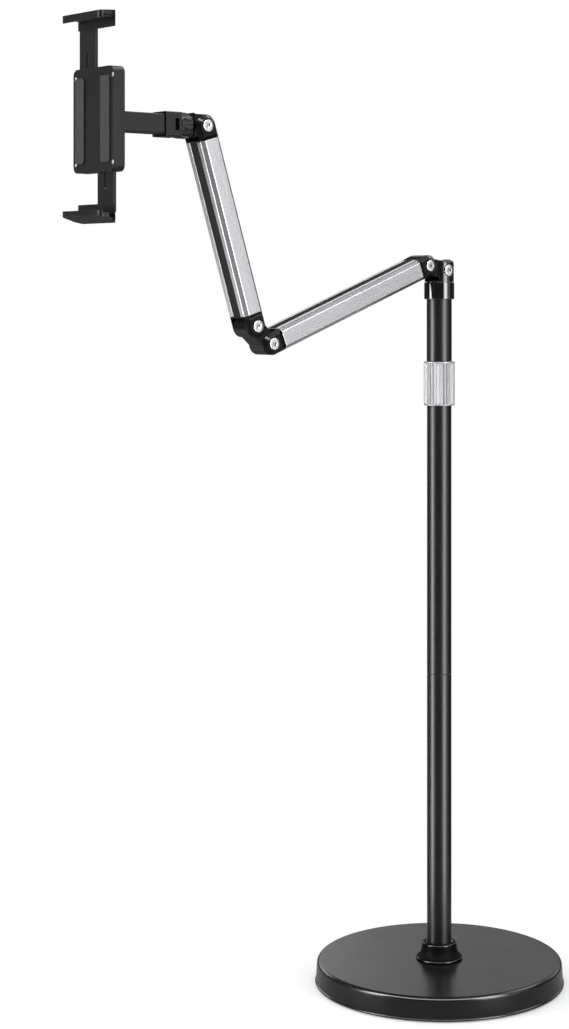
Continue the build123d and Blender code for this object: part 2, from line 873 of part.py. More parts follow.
def jaw_plan():
    """A jaw seen from above: square in front, more rounded behind."""
    front = jaw_front - bar_rear
    plan = Rectangle(2 * jaw_half_width, front)
    corners = plan.vertices().group_by(Axis.Y)
    plan = fillet(corners[0], jaw_front_corner)
    rear = plan.vertices().group_by(Axis.Y)[-1]
    plan = fillet(rear, jaw_rear_corner)
    return Pos(0, -(jaw_front + bar_rear) / 2) * plan


def jaw_bar(side, reach):
    """Flat bar that slides in the housing, slotted for its stop boss."""
    x_low, x_high = sorted((side * bar_inner, side * bar_outer))
    bar = block(x_low, x_high, bar_rear, bar_front, -bar_tail, reach)
    half = stop_boss_radius + slide_gap
    low = stop_boss_height - jaw_out - stop_boss_radius - slot_end_gap
    high = stop_boss_height + jaw_in + stop_boss_radius + slot_end_gap
    outline = Pos(side * bar_middle, (low + high) / 2) * SlotOverall(high - low, 2 * half, rotation=90)
    return bar - ahead(outline, bar_rear - overrun, bar_front + overrun)


def upper_jaw():
    """Plate that closes the slot's upper end, with a front lip, a rear wall and its bar."""
    inner = upper_reach + jaw_pad_thickness
    side = make_face(
        Polyline(
            (jaw_front, upper_reach - lip_overlap),
            (jaw_front, inner + upper_plate_front),
            (bar_rear, inner + upper_plate_rear),
            (bar_rear, upper_reach - jaw_wall_height),
            (bar_front, upper_reach - jaw_wall_height),
            (bar_front, inner),
            (lip_rear, inner),
            (lip_rear, upper_reach - lip_overlap),
            close=True,
        )
    )
    jaw = across(side, -jaw_half_width, jaw_half_width)
    jaw &= above(jaw_plan(), 0, inner + 2 * upper_plate_rear)
    return jaw + jaw_bar(-1, inner)


def upper_jaw_pad():
    half = jaw_half_width - jaw_pad_side_inset
    rear = bar_front + slide_gap
    front = lip_rear - slide_gap
    return block(-half, half, rear, front, upper_reach, upper_reach + jaw_pad_thickness)


def lower_floor(forward):
    """Height of the tray's outer face below the head axis, at a place forward."""
    along_share = (jaw_front - forward) / (jaw_front - bar_rear)
    drop = lower_front_drop + (lower_rear_drop - lower_front_drop) * along_share
    return -lower_reach - drop


def lower_jaw():
    """Tray that closes the slot's lower end, its floor sloping down to the rear wall."""
    wall_top = jaw_wall_height - lower_reach
    side = make_face(
        Polyline(
            (jaw_front, lip_overlap - lower_reach),
            (lip_rear, lip_overlap - lower_reach),
            (lip_rear, lower_floor(lip_rear) + lower_floor_thickness),
            (bar_front, lower_floor(bar_front) + lower_floor_thickness),
            (bar_front, wall_top),
            (bar_rear, wall_top),
            (bar_rear, lower_floor(bar_rear)),
            (jaw_front, lower_floor(jaw_front)),
            close=True,
        )
    )
    jaw = across(side, -jaw_half_width, jaw_half_width)
    jaw &= above(jaw_plan(), -lower_reach - 2 * lower_rear_drop, 0)
    bar = Rot(Y=180) * jaw_bar(-1, lower_reach)
    return jaw + bar


def lower_jaw_pad():
    """Rubber wedge that levels the front of the tray's sloping floor."""
    half = jaw_half_width - jaw_pad_side_inset
    front = lip_rear - slide_gap
    rear = front - lower_pad_depth
    side = make_face(
        Polyline(
            (front, -lower_reach),
            (rear, -lower_reach),
            (rear, lower_floor(rear) + lower_floor_thickness),
            (front, lower_floor(front) + lower_floor_thickness),
            close=True,
        )
    )
    return across(side, -half, half)


# Every piece in its place


def at_shoulder(piece):
    return place_at(shoulder, 0, piece)


def at_lower_arm(piece):
    return place_at(shoulder_end, lower_arm_angle, piece)


def at_upper_arm(piece):
    return place_at(elbow_end, upper_arm_angle, piece)


def at_head(piece):
    return place_at(head, 0, piece)


def at_ball(piece):
    return place_at(ball_place, 0, piece)


def at_holder(piece):
    return Pos(0, 0, head_height) * piece


def each(place, pieces):
    return [place(piece) for piece in pieces]


nodes = {
    "base_rubber_mat": base_rubber_mat(),
    "base_counterweight": base_counterweight(),
    "base_cover": base_cover(),
    "base_fixing_bolt": base_fixing_bolt(),
    "base_fixing_washer": base_fixing_washer(),
    "pole_boot": pole_boot(),
    "pole_foot_plug": pole_foot_plug(),
    "lower_pole_tube": lower_pole_tube(),
    "pole_joiner": pole_joiner(),
    "middle_pole_tube": middle_pole_tube(),
    "clamp_thread_bush": clamp_thread_bush(),
    "clamp_collet": clamp_collet(),
    "height_lock_collar": height_lock_collar(),
    "slide_foot_bush": slide_foot_bush(),
    "inner_slide_tube": inner_slide_tube(),
    "upper_sleeve_tube": upper_sleeve_tube(),
    "tube_top_plug": tube_top_plug(),
    "swivel_cap": swivel_cap(),
    "swivel_washer": swivel_washer(),
    "swivel_bolt": swivel_bolt(),
    "swivel_fork": swivel_fork(),
    "shoulder_pivot_bolt": at_shoulder(pivot_bolt()),
    "shoulder_pivot_nut": at_shoulder(pivot_nut()),
    "shoulder_friction_washers": each(at_shoulder, friction_washers()),
    "shoulder_link": place_at(shoulder, shoulder_link_angle, knuckle_link()),
    "elbow_link": place_at(elbow, elbow_link_angle, knuckle_link()),
    "head_knuckle": at_head(head_knuckle()),
    "ball_liner": at_ball(ball_liner()),
    "ball_lock_nut": at_ball(ball_lock_nut()),
    "holder_neck": at_ball(holder_neck()),
    "neck_screws": each(at_holder, neck_screws()),
    "holder_back_plate": at_holder(holder_back_plate()),
    "holder_front_cover": at_holder(holder_front_cover()),
    "holder_cover_screws": each(at_holder, holder_cover_screws()),
    "holder_rest_pads": each(at_holder, holder_rest_pads()),
    "jaw_brake_pads": each(at_holder, jaw_brake_pads()),
    "upper_jaw": at_holder(upper_jaw()),
    "upper_jaw_pad": at_holder(upper_jaw_pad()),
    "lower_jaw": at_holder(lower_jaw()),
    "lower_jaw_pad": at_holder(lower_jaw_pad()),
}

arms = {"lower_arm": (lower_arm_length, at_lower_arm), "upper_arm": (upper_arm_length, at_upper_arm)}
for arm, (length, place) in arms.items():
    washers = [copy for washer in friction_washers() for copy in pair_along(length, washer)]
    nodes[f"{arm}_profile"] = place(arm_profile(length))
    nodes[f"{arm}_strips"] = each(place, arm_strips(length))
    nodes[f"{arm}_rear_fork"] = place(arm_fork())
    nodes[f"{arm}_front_fork"] = place(front_fork(length))
    nodes[f"{arm}_pivot_bolts"] = each(place, pair_along(length, pivot_bolt()))
    nodes[f"{arm}_pivot_nuts"] = each(place, pair_along(length, pivot_nut()))
    nodes[f"{arm}_friction_washers"] = each(place, washers)

os.makedirs("parts", exist_ok=True)
for name, piece in nodes.items():
    solids = piece if isinstance(piece, list) else [piece]
    solids = [solid for item in solids for solid in item.solids()]
    export_step(solids[0] if len(solids) == 1 else Compound(solids), f"parts/{name}.step")
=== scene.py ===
"""Looks of an adjustable tablet floor stand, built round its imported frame.

Outlines are in millimetres and the properties in metres. A place on the stand is (forward, up), where
forward is the distance from the pole's axis towards -Y, and the arms lie in the plane X = 0.
"""

import json
from math import atan2, cos, degrees, hypot, pi, radians, sin, sqrt

import bpy
from bpy.props import FloatProperty, FloatVectorProperty, IntProperty, PointerProperty
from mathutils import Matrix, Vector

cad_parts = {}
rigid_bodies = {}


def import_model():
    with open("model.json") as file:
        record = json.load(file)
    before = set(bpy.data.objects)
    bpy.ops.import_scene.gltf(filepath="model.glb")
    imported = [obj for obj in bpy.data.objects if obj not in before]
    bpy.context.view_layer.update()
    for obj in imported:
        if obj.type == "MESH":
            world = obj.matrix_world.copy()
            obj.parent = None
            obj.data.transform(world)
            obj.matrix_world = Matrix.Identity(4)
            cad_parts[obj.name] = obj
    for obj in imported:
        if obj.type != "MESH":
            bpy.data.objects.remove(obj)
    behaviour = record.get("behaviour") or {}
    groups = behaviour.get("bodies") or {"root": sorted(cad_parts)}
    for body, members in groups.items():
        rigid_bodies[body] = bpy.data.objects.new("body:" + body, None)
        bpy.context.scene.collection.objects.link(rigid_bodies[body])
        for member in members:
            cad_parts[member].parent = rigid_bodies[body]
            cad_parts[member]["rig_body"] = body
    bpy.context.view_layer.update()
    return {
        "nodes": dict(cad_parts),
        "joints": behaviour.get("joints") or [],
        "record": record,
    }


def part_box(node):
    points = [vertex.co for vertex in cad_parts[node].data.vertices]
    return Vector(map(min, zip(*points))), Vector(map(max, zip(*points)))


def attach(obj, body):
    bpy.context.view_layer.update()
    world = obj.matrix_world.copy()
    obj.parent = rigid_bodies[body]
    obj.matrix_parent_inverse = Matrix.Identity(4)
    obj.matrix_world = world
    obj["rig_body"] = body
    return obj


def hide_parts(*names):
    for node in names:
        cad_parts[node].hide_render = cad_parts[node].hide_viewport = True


bl_info = {
    "name": "Adjustable tablet floor stand",
    "version": (1, 0, 0),
    "blender": (4, 5, 0),
    "location": "View3D > Sidebar > Stand",
    "description": "Builds the visible pieces, finishes and stage of a tablet floor stand",
    "category": "Object",
}

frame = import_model()

MM = 0.001
OVERRUN = 2.0  # how far a cutter passes the face that it cuts
FIT = 0.05  # clearance between a piece and what it sits in
LOOSE = 0.08  # clearance of a pivot in the piece that turns on it
NEAR = 0.01  # how near a corner lies to the face or row that it belongs to
JOINTS = {joint["name"]: joint for joint in frame["joints"]}

# Sizes that several pieces share, in millimetres
HINGE = {
    "knuckle": 10.5,
    "tongue": 10.0,
    "cheek_inner": 10.7,
    "cheek_outer": 14.5,
    "seat": 13.1,
    "seat_radius": 6.0,
    "pivot": 3.0,
    "web_start": 11.2,
    "reach": 12.4,
    "link": 25.0,
}
ARM = {"width": 29.0, "depth": 21.0, "wall": 2.4, "channel": 10.6, "channel_depth": 3.0, "floor": 1.6}


def place_of(joint):
    """Where a joint turns, as (forward, up) in millimetres."""
    x, y, z = JOINTS[joint]["pos_m"]
    return -y / MM, z / MM


def low(node, axis=2):
    """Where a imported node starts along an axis, in millimetres."""
    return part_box(node)[0][axis] / MM


def high(node, axis=2):
    """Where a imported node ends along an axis, in millimetres."""
    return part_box(node)[1][axis] / MM


def slope(here, there):
    """Angle of a run above the forward horizontal, in degrees."""
    return degrees(atan2(there[1] - here[1], there[0] - here[0]))


def span(here, there):
    return hypot(there[0] - here[0], there[1] - here[1])


SHOULDER = place_of("shoulder_lift")
SHOULDER_END = place_of("lower_arm_bend")
ELBOW = place_of("elbow_bend")
ELBOW_END = place_of("upper_arm_bend")
HEAD = place_of("head_bend")
BALL = place_of("ball_turn")


# Outlines


def arc(centre, radius, start, end, steps):
    """Points round an arc, from one angle to another in degrees."""
    angles = [radians(start + (end - start) * step / steps) for step in range(steps + 1)]
    return [(centre[0] + radius * cos(angle), centre[1] + radius * sin(angle)) for angle in angles]


def arc_through(first, middle, last, steps):
    """Points on the arc that passes through three places."""
    (ax, ay), (bx, by), (cx, cy) = first, middle, last
    spread = 2 * (ax * (by - cy) + bx * (cy - ay) + cx * (ay - by))
    a2, b2, c2 = ax * ax + ay * ay, bx * bx + by * by, cx * cx + cy * cy
    x = (a2 * (by - cy) + b2 * (cy - ay) + c2 * (ay - by)) / spread
    y = (a2 * (cx - bx) + b2 * (ax - cx) + c2 * (bx - ax)) / spread
    start, end = degrees(atan2(ay - y, ax - x)), degrees(atan2(cy - y, cx - x))
    if abs(end - start) > 180:
        end += 360 if end < start else -360
    return arc((x, y), hypot(ax - x, ay - y), start, end, steps)


def rounded(half_width, half_height, corner, steps=8, middle=(0, 0)):
    """A rectangle with rounded corners."""
    points = []
    for turn, (side, end) in enumerate([(1, 1), (-1, 1), (-1, -1), (1, -1)]):
        centre = (middle[0] + side * (half_width - corner), middle[1] + end * (half_height - corner))
        points += arc(centre, corner, 90 * turn, 90 * turn + 90, steps)
    return points


def across(outline, x):
    """A side view, drawn as (forward, up), laid at a distance along X."""
    return [(x, -forward, up) for forward, up in outline]


def ahead(outline, forward):
    """A front view, drawn as (across, up), laid at a distance forward."""
    return [(x, -forward, up) for x, up in outline]


def above(outline, height):
    """A plan view, drawn as (across, forward), laid at a height."""
    return [(x, -forward, height) for x, forward in outline]


# Modelling


def metres(place):
    return tuple(value * MM for value in place)


def ring_step(corner, count, per):
    """Which step of its own flute or rib a corner lies on, of the count round Z with so many steps each."""
    return round(atan2(corner[1], corner[0]) / (2 * pi) * count * per) % per


def let_go():
    """Leave edit mode with nothing selected."""
    if bpy.context.mode != "OBJECT":
        bpy.ops.object.mode_set(mode="OBJECT")
    bpy.ops.object.select_all(action="DESELECT")


def take(*pieces):
    """Select pieces, the first of them active."""
    let_go()
    for piece in pieces:
        piece.select_set(True)
    bpy.context.view_layer.objects.active = pieces[0]
    return pieces[0]


def edit_all(piece):
    take(piece)
    bpy.ops.object.mode_set(mode="EDIT")
    bpy.ops.mesh.select_all(action="SELECT")


def drawn(name, points):
    """A wire through points in space, in millimetres, drawn by extruding one vertex."""
    let_go()
    bpy.ops.mesh.primitive_plane_add(size=MM)
    piece = bpy.context.object
    piece.name = piece.data.name = name
    edit_all(piece)
    bpy.ops.mesh.merge(type="CENTER")
    bpy.ops.transform.translate(value=metres(points[0]))
    for here, there in zip(points, points[1:]):
        step = metres([b - a for a, b in zip(here, there)])
        bpy.ops.mesh.extrude_vertices_move(TRANSFORM_OT_translate={"value": step})
    bpy.ops.mesh.select_all(action="SELECT")
    bpy.ops.mesh.remove_doubles(threshold=1e-7)
    return piece


def turned(name, profile, steps=96, closed=True):
    """A piece spun about Z from a profile of (radius, height)."""
    profile = profile + profile[:1] if closed else profile
    piece = drawn(name, [(radius, 0, height) for radius, height in profile])
    bpy.ops.mesh.spin(steps=steps, angle=2 * pi, center=(0, 0, 0), axis=(0, 0, 1))
    return tidy_mesh(piece)


def tidy_mesh(piece):
    """Merge doubles and turn the faces outwards."""
    edit_all(piece)
    bpy.ops.mesh.remove_doubles(threshold=1e-6)
    bpy.ops.mesh.normals_make_consistent(inside=False)
    let_go()
    return piece


def swept(name, points, sweep):
    """A solid from a closed outline in space, swept along a vector."""
    piece = drawn(name, points)
    bpy.ops.mesh.edge_face_add()
    bpy.ops.mesh.extrude_region_move(TRANSFORM_OT_translate={"value": metres(sweep)})
    return tidy_mesh(piece)


def block(name, x_low, x_high, forward_low, forward_high, bottom, top):
    """A box between its limits across, forward and up."""
    outline = [(x_low, bottom), (x_high, bottom), (x_high, top), (x_low, top)]
    return swept(name, ahead(outline, forward_low), (0, forward_low - forward_high, 0))


def rod(name, radius, start, end, axis="Z", steps=48):
    """A round cutter or core along an axis through the origin."""
    turn = {"X": (0, pi / 2, 0), "Y": (pi / 2, 0, 0), "Z": (0, 0, 0)}[axis]
    middle = (start + end) / 2
    place = {"X": (middle, 0, 0), "Y": (0, -middle, 0), "Z": (0, 0, middle)}[axis]
    let_go()
    bpy.ops.mesh.primitive_cylinder_add(
        vertices=steps, radius=radius * MM, depth=abs(end - start) * MM, location=metres(place), rotation=turn
    )
    return settle(bpy.context.object, name)


def ball(name, radius, place):
    """A sphere round a place."""
    let_go()
    bpy.ops.mesh.primitive_uv_sphere_add(
        segments=48, ring_count=24, radius=radius * MM, location=metres(place)
    )
    return settle(bpy.context.object, name)


def settle(piece, name=None):
    """Put a piece's place into its mesh, so that its object is at the origin, and name it."""
    if name:
        piece.name = piece.data.name = name
    take(piece)
    bpy.ops.object.transform_apply(location=True, rotation=True, scale=True)
    return piece


def moved(piece, shift=(0, 0, 0), turn=(0, 0, 0)):
    """Turn a piece about the origin, in degrees, and then shift it."""
    piece.rotation_euler = [radians(angle) for angle in turn]
    piece.location = metres(shift)
    return settle(piece)


def at(place, angle, piece):
    """Put a piece built at the origin, pointing forward, at a place of the arm chain."""
    return moved(piece, (0, -place[0], place[1]), (-angle, 0, 0))


def copied(piece, name, shift=(0, 0, 0), turn=(0, 0, 0)):
    take(piece)
    bpy.ops.object.duplicate(linked=False)
    copy = bpy.context.object
    copy.name = copy.data.name = name
    return moved(copy, shift, turn)


def joined(*pieces):
    """Pieces that share one node, as one object."""
    take(*pieces)
    bpy.ops.object.join()
    return pieces[0]


def apply(piece, kind, **settings):
    """Put a modifier on a piece and apply it."""
    take(piece)
    modifier = piece.modifiers.new(kind.lower(), kind)
    for setting, value in settings.items():
        setattr(modifier, setting, value)
    bpy.ops.object.modifier_apply(modifier=modifier.name)


def combine(piece, operation, *others):
    for other in others:
        apply(piece, "BOOLEAN", operation=operation, object=other, solver="EXACT")
        bpy.data.meshes.remove(other.data)
    return piece


def cut(piece, *others):
    return combine(piece, "DIFFERENCE", *others)


def fused(piece, *others):
    return combine(piece, "UNION", *others)


def common(piece, *others):
    return combine(piece, "INTERSECT", *others)


def pick(piece, kind, test):
    """Enter edit mode with the edges, faces or vertices whose corners all pass a test, in millimetres."""
    take(piece)
    bpy.ops.object.mode_set(mode="EDIT")
    bpy.ops.mesh.select_mode(type=kind)
    bpy.ops.mesh.select_all(action="DESELECT")
    bpy.ops.object.mode_set(mode="OBJECT")
    corners = [tuple(value / MM for value in vertex.co) for vertex in piece.data.vertices]
    if kind == "VERT":
        for vertex, corner in zip(piece.data.vertices, corners):
            vertex.select = test(corner)
    else:
        for part in piece.data.edges if kind == "EDGE" else piece.data.polygons:
            part.select = all(test(corners[index]) for index in part.vertices)
    bpy.ops.object.mode_set(mode="EDIT")


def bevel_edges(piece, width, segments, test):
    """Bevel the edges whose two ends pass a test."""
    pick(piece, "EDGE", test)
    bpy.ops.mesh.bevel(offset=width * MM, segments=segments, affect="EDGES", clamp_overlap=False)
    bpy.ops.mesh.select_mode(type="VERT")
    tidy_mesh(piece)


def ease(piece, width, segments=2, angle=30):
    """Round a piece's sharp edges over and give it clean normals."""
    if width:
        apply(
            piece,
            "BEVEL",
            width=width * MM,
            segments=segments,
            limit_method="ANGLE",
            angle_limit=radians(angle),
        )
    take(piece)
    bpy.ops.object.shade_smooth_by_angle(angle=radians(angle + 5))
    apply(piece, "WEIGHTED_NORMAL", keep_sharp=True, weight=60)
    let_go()
    return piece


def finished(piece, node, slot, material=None):
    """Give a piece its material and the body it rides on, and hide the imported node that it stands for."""
    piece.data.materials.clear()
    piece.data.materials.append(material or finish(slot))
    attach(piece, frame["nodes"][node]["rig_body"])
    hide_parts(node)
    let_go()
    return piece


def dressed(node, slot, material=None):
    """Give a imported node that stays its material."""
    piece = frame["nodes"][node]
    for holder in piece.material_slots:
        holder.material = material or finish(slot)


# Finishes


FLOAT, VECTOR = "NodeSocketFloat", "NodeSocketVector"
SURFACE = [("Height", FLOAT), ("Roughness", FLOAT), ("Shade", FLOAT)]


def new_group(name, inputs, outputs):
    """An empty shader node group with named sockets, and its input and output nodes."""
    group = bpy.data.node_groups.new(name, "ShaderNodeTree")
    for socket, kind, default in inputs:
        added = group.interface.new_socket(name=socket, in_out="INPUT", socket_type=kind)
        if default is not None:
            added.default_value = default
    for socket, kind in outputs:
        group.interface.new_socket(name=socket, in_out="OUTPUT", socket_type=kind)
    return group, group.nodes.new("NodeGroupInput"), group.nodes.new("NodeGroupOutput")


def surface(group, made, *values):
    """Feed a group's height, roughness and shade, and hand the group back."""
    for value, row in zip(values, SURFACE):
        group.links.new(value, made.inputs[row[0]])
    return group


def once(build):
    """Build a node group, named after its function, when it is first asked for."""
    name = build.__name__.replace("_", " ")

    def asked():
        return bpy.data.node_groups.get(name) or build(name)

    return asked


def math_node(tree, operation, first, second=None, clamp=False):
    """The result of a sum on one or two values, each a number or a socket."""
    node = tree.nodes.new("ShaderNodeMath")
    node.operation = operation
    node.use_clamp = clamp
    for socket, value in zip(node.inputs, (first, second)):
        if value is None:
            continue
        if isinstance(value, (int, float)):
            socket.default_value = value
        else:
            tree.links.new(value, socket)
    return node.outputs[0]


def noise_node(tree, vector, scale, detail=3.0, roughness=0.55):
    """Noise at a scale, which is a number or a socket."""
    node = tree.nodes.new("ShaderNodeTexNoise")
    tree.links.new(vector, node.inputs["Vector"])
    if isinstance(scale, (int, float)):
        node.inputs["Scale"].default_value = scale
    else:
        tree.links.new(scale, node.inputs["Scale"])
    node.inputs["Detail"].default_value = detail
    node.inputs["Roughness"].default_value = roughness
    return node.outputs["Fac"]


@once
def moulded_grain(name):
    """Fine surface grain, with slow patches that change how rough and how light it is."""
    inputs = [("Vector", VECTOR, None), ("Grain Scale", FLOAT, 1500.0), ("Patch Scale", FLOAT, 30.0)]
    inputs += [("Roughness", FLOAT, 0.4), ("Roughness Spread", FLOAT, 0.1), ("Shade Spread", FLOAT, 0.2)]
    group, given, made = new_group(name, inputs, SURFACE)
    grain = noise_node(group, given.outputs["Vector"], given.outputs["Grain Scale"], 4.0, 0.6)
    patch = noise_node(group, given.outputs["Vector"], given.outputs["Patch Scale"])
    patch = math_node(group, "SUBTRACT", patch, 0.5)
    rough = math_node(group, "MULTIPLY", patch, given.outputs["Roughness Spread"])
    fine = math_node(group, "MULTIPLY", math_node(group, "SUBTRACT", grain, 0.5), 0.05)
    rough = math_node(group, "ADD", math_node(group, "ADD", rough, fine), given.outputs["Roughness"], True)
    shade = math_node(group, "MULTIPLY", patch, given.outputs["Shade Spread"])
    return surface(group, made, grain, rough, math_node(group, "ADD", shade, 0.5, True))


@once
def drawn_lines(name):
    """Long fine lines left by drawing, brushing or turning, over a soft mottle."""
    inputs = [("Vector", VECTOR, None), ("Line Vector", VECTOR, None), ("Line Scale", FLOAT, 2500.0)]
    inputs += [("Roughness", FLOAT, 0.3), ("Roughness Spread", FLOAT, 0.1)]
    group, given, made = new_group(name, inputs, SURFACE)
    lines = noise_node(group, given.outputs["Line Vector"], given.outputs["Line Scale"], 3.0, 0.6)
    mottle = noise_node(group, given.outputs["Vector"], 900.0, 3.0, 0.7)
    lines, mottle = math_node(group, "MULTIPLY", lines, 0.7), math_node(group, "MULTIPLY", mottle, 0.3)
    height = math_node(group, "ADD", lines, mottle)
    rough = math_node(group, "SUBTRACT", height, 0.5)
    rough = math_node(group, "MULTIPLY", rough, given.outputs["Roughness Spread"])
    rough = math_node(group, "ADD", rough, given.outputs["Roughness"], True)
    return surface(group, made, height, rough, height)


@once
def rubbed_edges(name):
    """How far an edge is rubbed by handling, a mask that also places painted edge highlights, broken up by
    noise; and where painted shade falls in hollows, from ambient occlusion.
    """
    samples, edge, hollow, level, sharpest, patch = 6, 0.6 * MM, 2.5 * MM, 0.995, 0.93, 350.0
    inputs = [("Vector", VECTOR, None), ("Amount", FLOAT, 0.5)]
    group, given, made = new_group(name, inputs, [("Mask", FLOAT), ("Open", FLOAT)])
    rounded_off = group.nodes.new("ShaderNodeBevel")
    rounded_off.samples = samples
    rounded_off.inputs["Radius"].default_value = edge
    facing = group.nodes.new("ShaderNodeVectorMath")
    facing.operation = "DOT_PRODUCT"
    group.links.new(rounded_off.outputs["Normal"], facing.inputs[0])
    group.links.new(group.nodes.new("ShaderNodeNewGeometry").outputs["Normal"], facing.inputs[1])
    sharp = group.nodes.new("ShaderNodeMapRange")
    sharp.inputs["From Min"].default_value = level
    sharp.inputs["From Max"].default_value = sharpest
    group.links.new(facing.outputs["Value"], sharp.inputs["Value"])
    broken = noise_node(group, given.outputs["Vector"], patch, 4.0, 0.7)
    mask = math_node(group, "MULTIPLY", sharp.outputs["Result"], broken)
    mask = math_node(group, "MULTIPLY", mask, given.outputs["Amount"], True)
    group.links.new(mask, made.inputs["Mask"])
    # Painted shade: ambient occlusion, low in hollows, crevices and sockets, darkens the colour there.
    hollow_shade = group.nodes.new("ShaderNodeAmbientOcclusion")
    hollow_shade.samples = samples
    hollow_shade.inputs["Distance"].default_value = hollow
    group.links.new(hollow_shade.outputs["AO"], made.inputs["Open"])
    return group


@once
def turned_by(name):
    """1 where a surface's upward share lies between two values."""
    inputs = [("Share", FLOAT, 0.0), ("From", FLOAT, 0.0), ("To", FLOAT, 1.0)]
    group, given, made = new_group(name, inputs, [("Mask", FLOAT)])
    above = math_node(group, "SUBTRACT", given.outputs["Share"], given.outputs["From"])
    below = math_node(group, "SUBTRACT", given.outputs["To"], given.outputs["Share"])
    above, below = (math_node(group, "MULTIPLY", margin, 12.0, True) for margin in (above, below))
    group.links.new(math_node(group, "MULTIPLY", above, below), made.inputs["Mask"])
    return group


def inside_channel(tree, place):
    """1 on an arm's channel walls and floor, which lie near its middle plane, where painted shade darkens the
    channel.
    """
    axes = tree.nodes.new("ShaderNodeSeparateXYZ")
    tree.links.new(place, axes.inputs[0])
    across = math_node(tree, "ABSOLUTE", axes.outputs["X"])
    return math_node(tree, "LESS_THAN", across, (ARM["channel"] / 2 + 0.1) * MM)


@once
def soft_panel(name):
    """A soft-edged patch of light in the studio, by compass swing and rise in degrees."""
    inputs = ("Swing", "Rise", "Middle", "Half Width", "Bottom", "Top", "Softness", "Strength")
    group, given, made = new_group(name, [(each, FLOAT, 0.0) for each in inputs], [("Light", FLOAT)])
    swing, rise, middle, half, bottom, top, softness, light = (given.outputs[each] for each in inputs)
    off = math_node(group, "ABSOLUTE", math_node(group, "SUBTRACT", swing, middle))
    for edge, inner in ((half, off), (rise, bottom), (top, rise)):
        margin = math_node(group, "DIVIDE", math_node(group, "SUBTRACT", edge, inner), softness)
        light = math_node(group, "MULTIPLY", light, math_node(group, "ADD", margin, 0.5, True))
    group.links.new(light, made.inputs["Light"])
    return group


def put_group(tree, group, links, **values):
    """Place a group in a material, with links and values by socket name."""
    node = tree.nodes.new("ShaderNodeGroup")
    node.node_tree = group
    for socket, value in values.items():
        node.inputs[socket.replace("_", " ")].default_value = value
    for socket, source in links.items():
        tree.links.new(source, node.inputs[socket])
    return node


def mix_colours(tree, factor, first, second):
    """Mix two colours; each is a colour or a socket."""
    node = tree.nodes.new("ShaderNodeMix")
    node.data_type = "RGBA"
    tree.links.new(factor, node.inputs["Factor"])
    for socket, value in ((node.inputs[6], first), (node.inputs[7], second)):
        if isinstance(value, bpy.types.NodeSocket):
            tree.links.new(value, socket)
        else:
            socket.default_value = (*value[:3], 1)
    return node.outputs[2]


def scaled(colour, factor):
    """A colour made darker or lighter."""
    return tuple(min(1.0, value * factor) for value in colour[:3])


def start_material(name):
    """A new material, its nodes, its shader and the place on the object."""
    material = bpy.data.materials.new(name)
    material.use_nodes = True
    tree = material.node_tree
    shader = tree.nodes["Principled BSDF"]
    place = tree.nodes.new("ShaderNodeTexCoord").outputs["Object"]
    return material, tree, shader, place


def connect(tree, shader, group, strength, depth):
    """Feed a group's height and roughness to the shader."""
    tree.links.new(group.outputs["Roughness"], shader.inputs["Roughness"])
    bump = tree.nodes.new("ShaderNodeBump")
    bump.inputs["Strength"].default_value = strength
    bump.inputs["Distance"].default_value = depth * MM
    tree.links.new(group.outputs["Height"], bump.inputs["Height"])
    tree.links.new(bump.outputs["Normal"], shader.inputs["Normal"])


def coating(
    name,
    colour,
    rough,
    grain=1500.0,
    spread=0.08,
    strength=0.15,
    depth=0.02,
    polished=None,
    matt=None,
    **values,
):
    """Paint, plastic or rubber: fine grain, slow patches, edges rubbed a little lighter that also serve as
    painted edge highlights, and painted shade darkening hollows.

    Polished where the normal's upward share lies between two values, save between the matt heights.
    """
    material, tree, shader, place = start_material(name)
    group = put_group(
        tree,
        moulded_grain(),
        {"Vector": place},
        Grain_Scale=grain,
        Patch_Scale=28.0,
        Roughness=rough,
        Roughness_Spread=spread,
        Shade_Spread=0.9,
    )
    connect(tree, shader, group, strength, depth)
    tone = mix_colours(tree, group.outputs["Shade"], scaled(colour, 0.85), scaled(colour, 1.15))
    wear_and_shade = put_group(tree, rubbed_edges(), {"Vector": place}, Amount=0.6)
    # Lighter edges: rubbed wear, and also painted edge highlights.
    worn_and_highlit = scaled([value + 0.05 for value in colour[:3]], 1.3)
    tone = mix_colours(tree, wear_and_shade.outputs["Mask"], tone, worn_and_highlit)
    # Painted shade: hollows darkened to 0.4 of the colour by ambient occlusion.
    tone = mix_colours(tree, wear_and_shade.outputs["Open"], scaled(colour, 0.4), tone)
    tree.links.new(tone, shader.inputs["Base Color"])
    for socket, value in values.items():
        shader.inputs[socket.replace("_", " ")].default_value = value
    if polished:
        normal = tree.nodes.new("ShaderNodeSeparateXYZ")
        tree.links.new(tree.nodes.new("ShaderNodeTexCoord").outputs["Normal"], normal.inputs[0])
        share = {"Share": normal.outputs["Z"]}
        polish = put_group(tree, turned_by(), share, From=polished[0], To=polished[1]).outputs["Mask"]
        if matt:
            axes = tree.nodes.new("ShaderNodeSeparateXYZ")
            tree.links.new(place, axes.inputs[0])
            middle, half = (matt[0] + matt[1]) / 2 * MM, (matt[1] - matt[0]) / 2 * MM
            off = math_node(tree, "ABSOLUTE", math_node(tree, "SUBTRACT", axes.outputs["Z"], middle))
            polish = math_node(tree, "MULTIPLY", polish, math_node(tree, "GREATER_THAN", off, half))
        tree.links.new(polish, shader.inputs["Coat Weight"])
    return material


ALONG_ARM, ROUND_POLE, PLAIN = (1, 0.01, 1), (1, 1, 0.02), (1, 1, 1)  # how lines are stretched


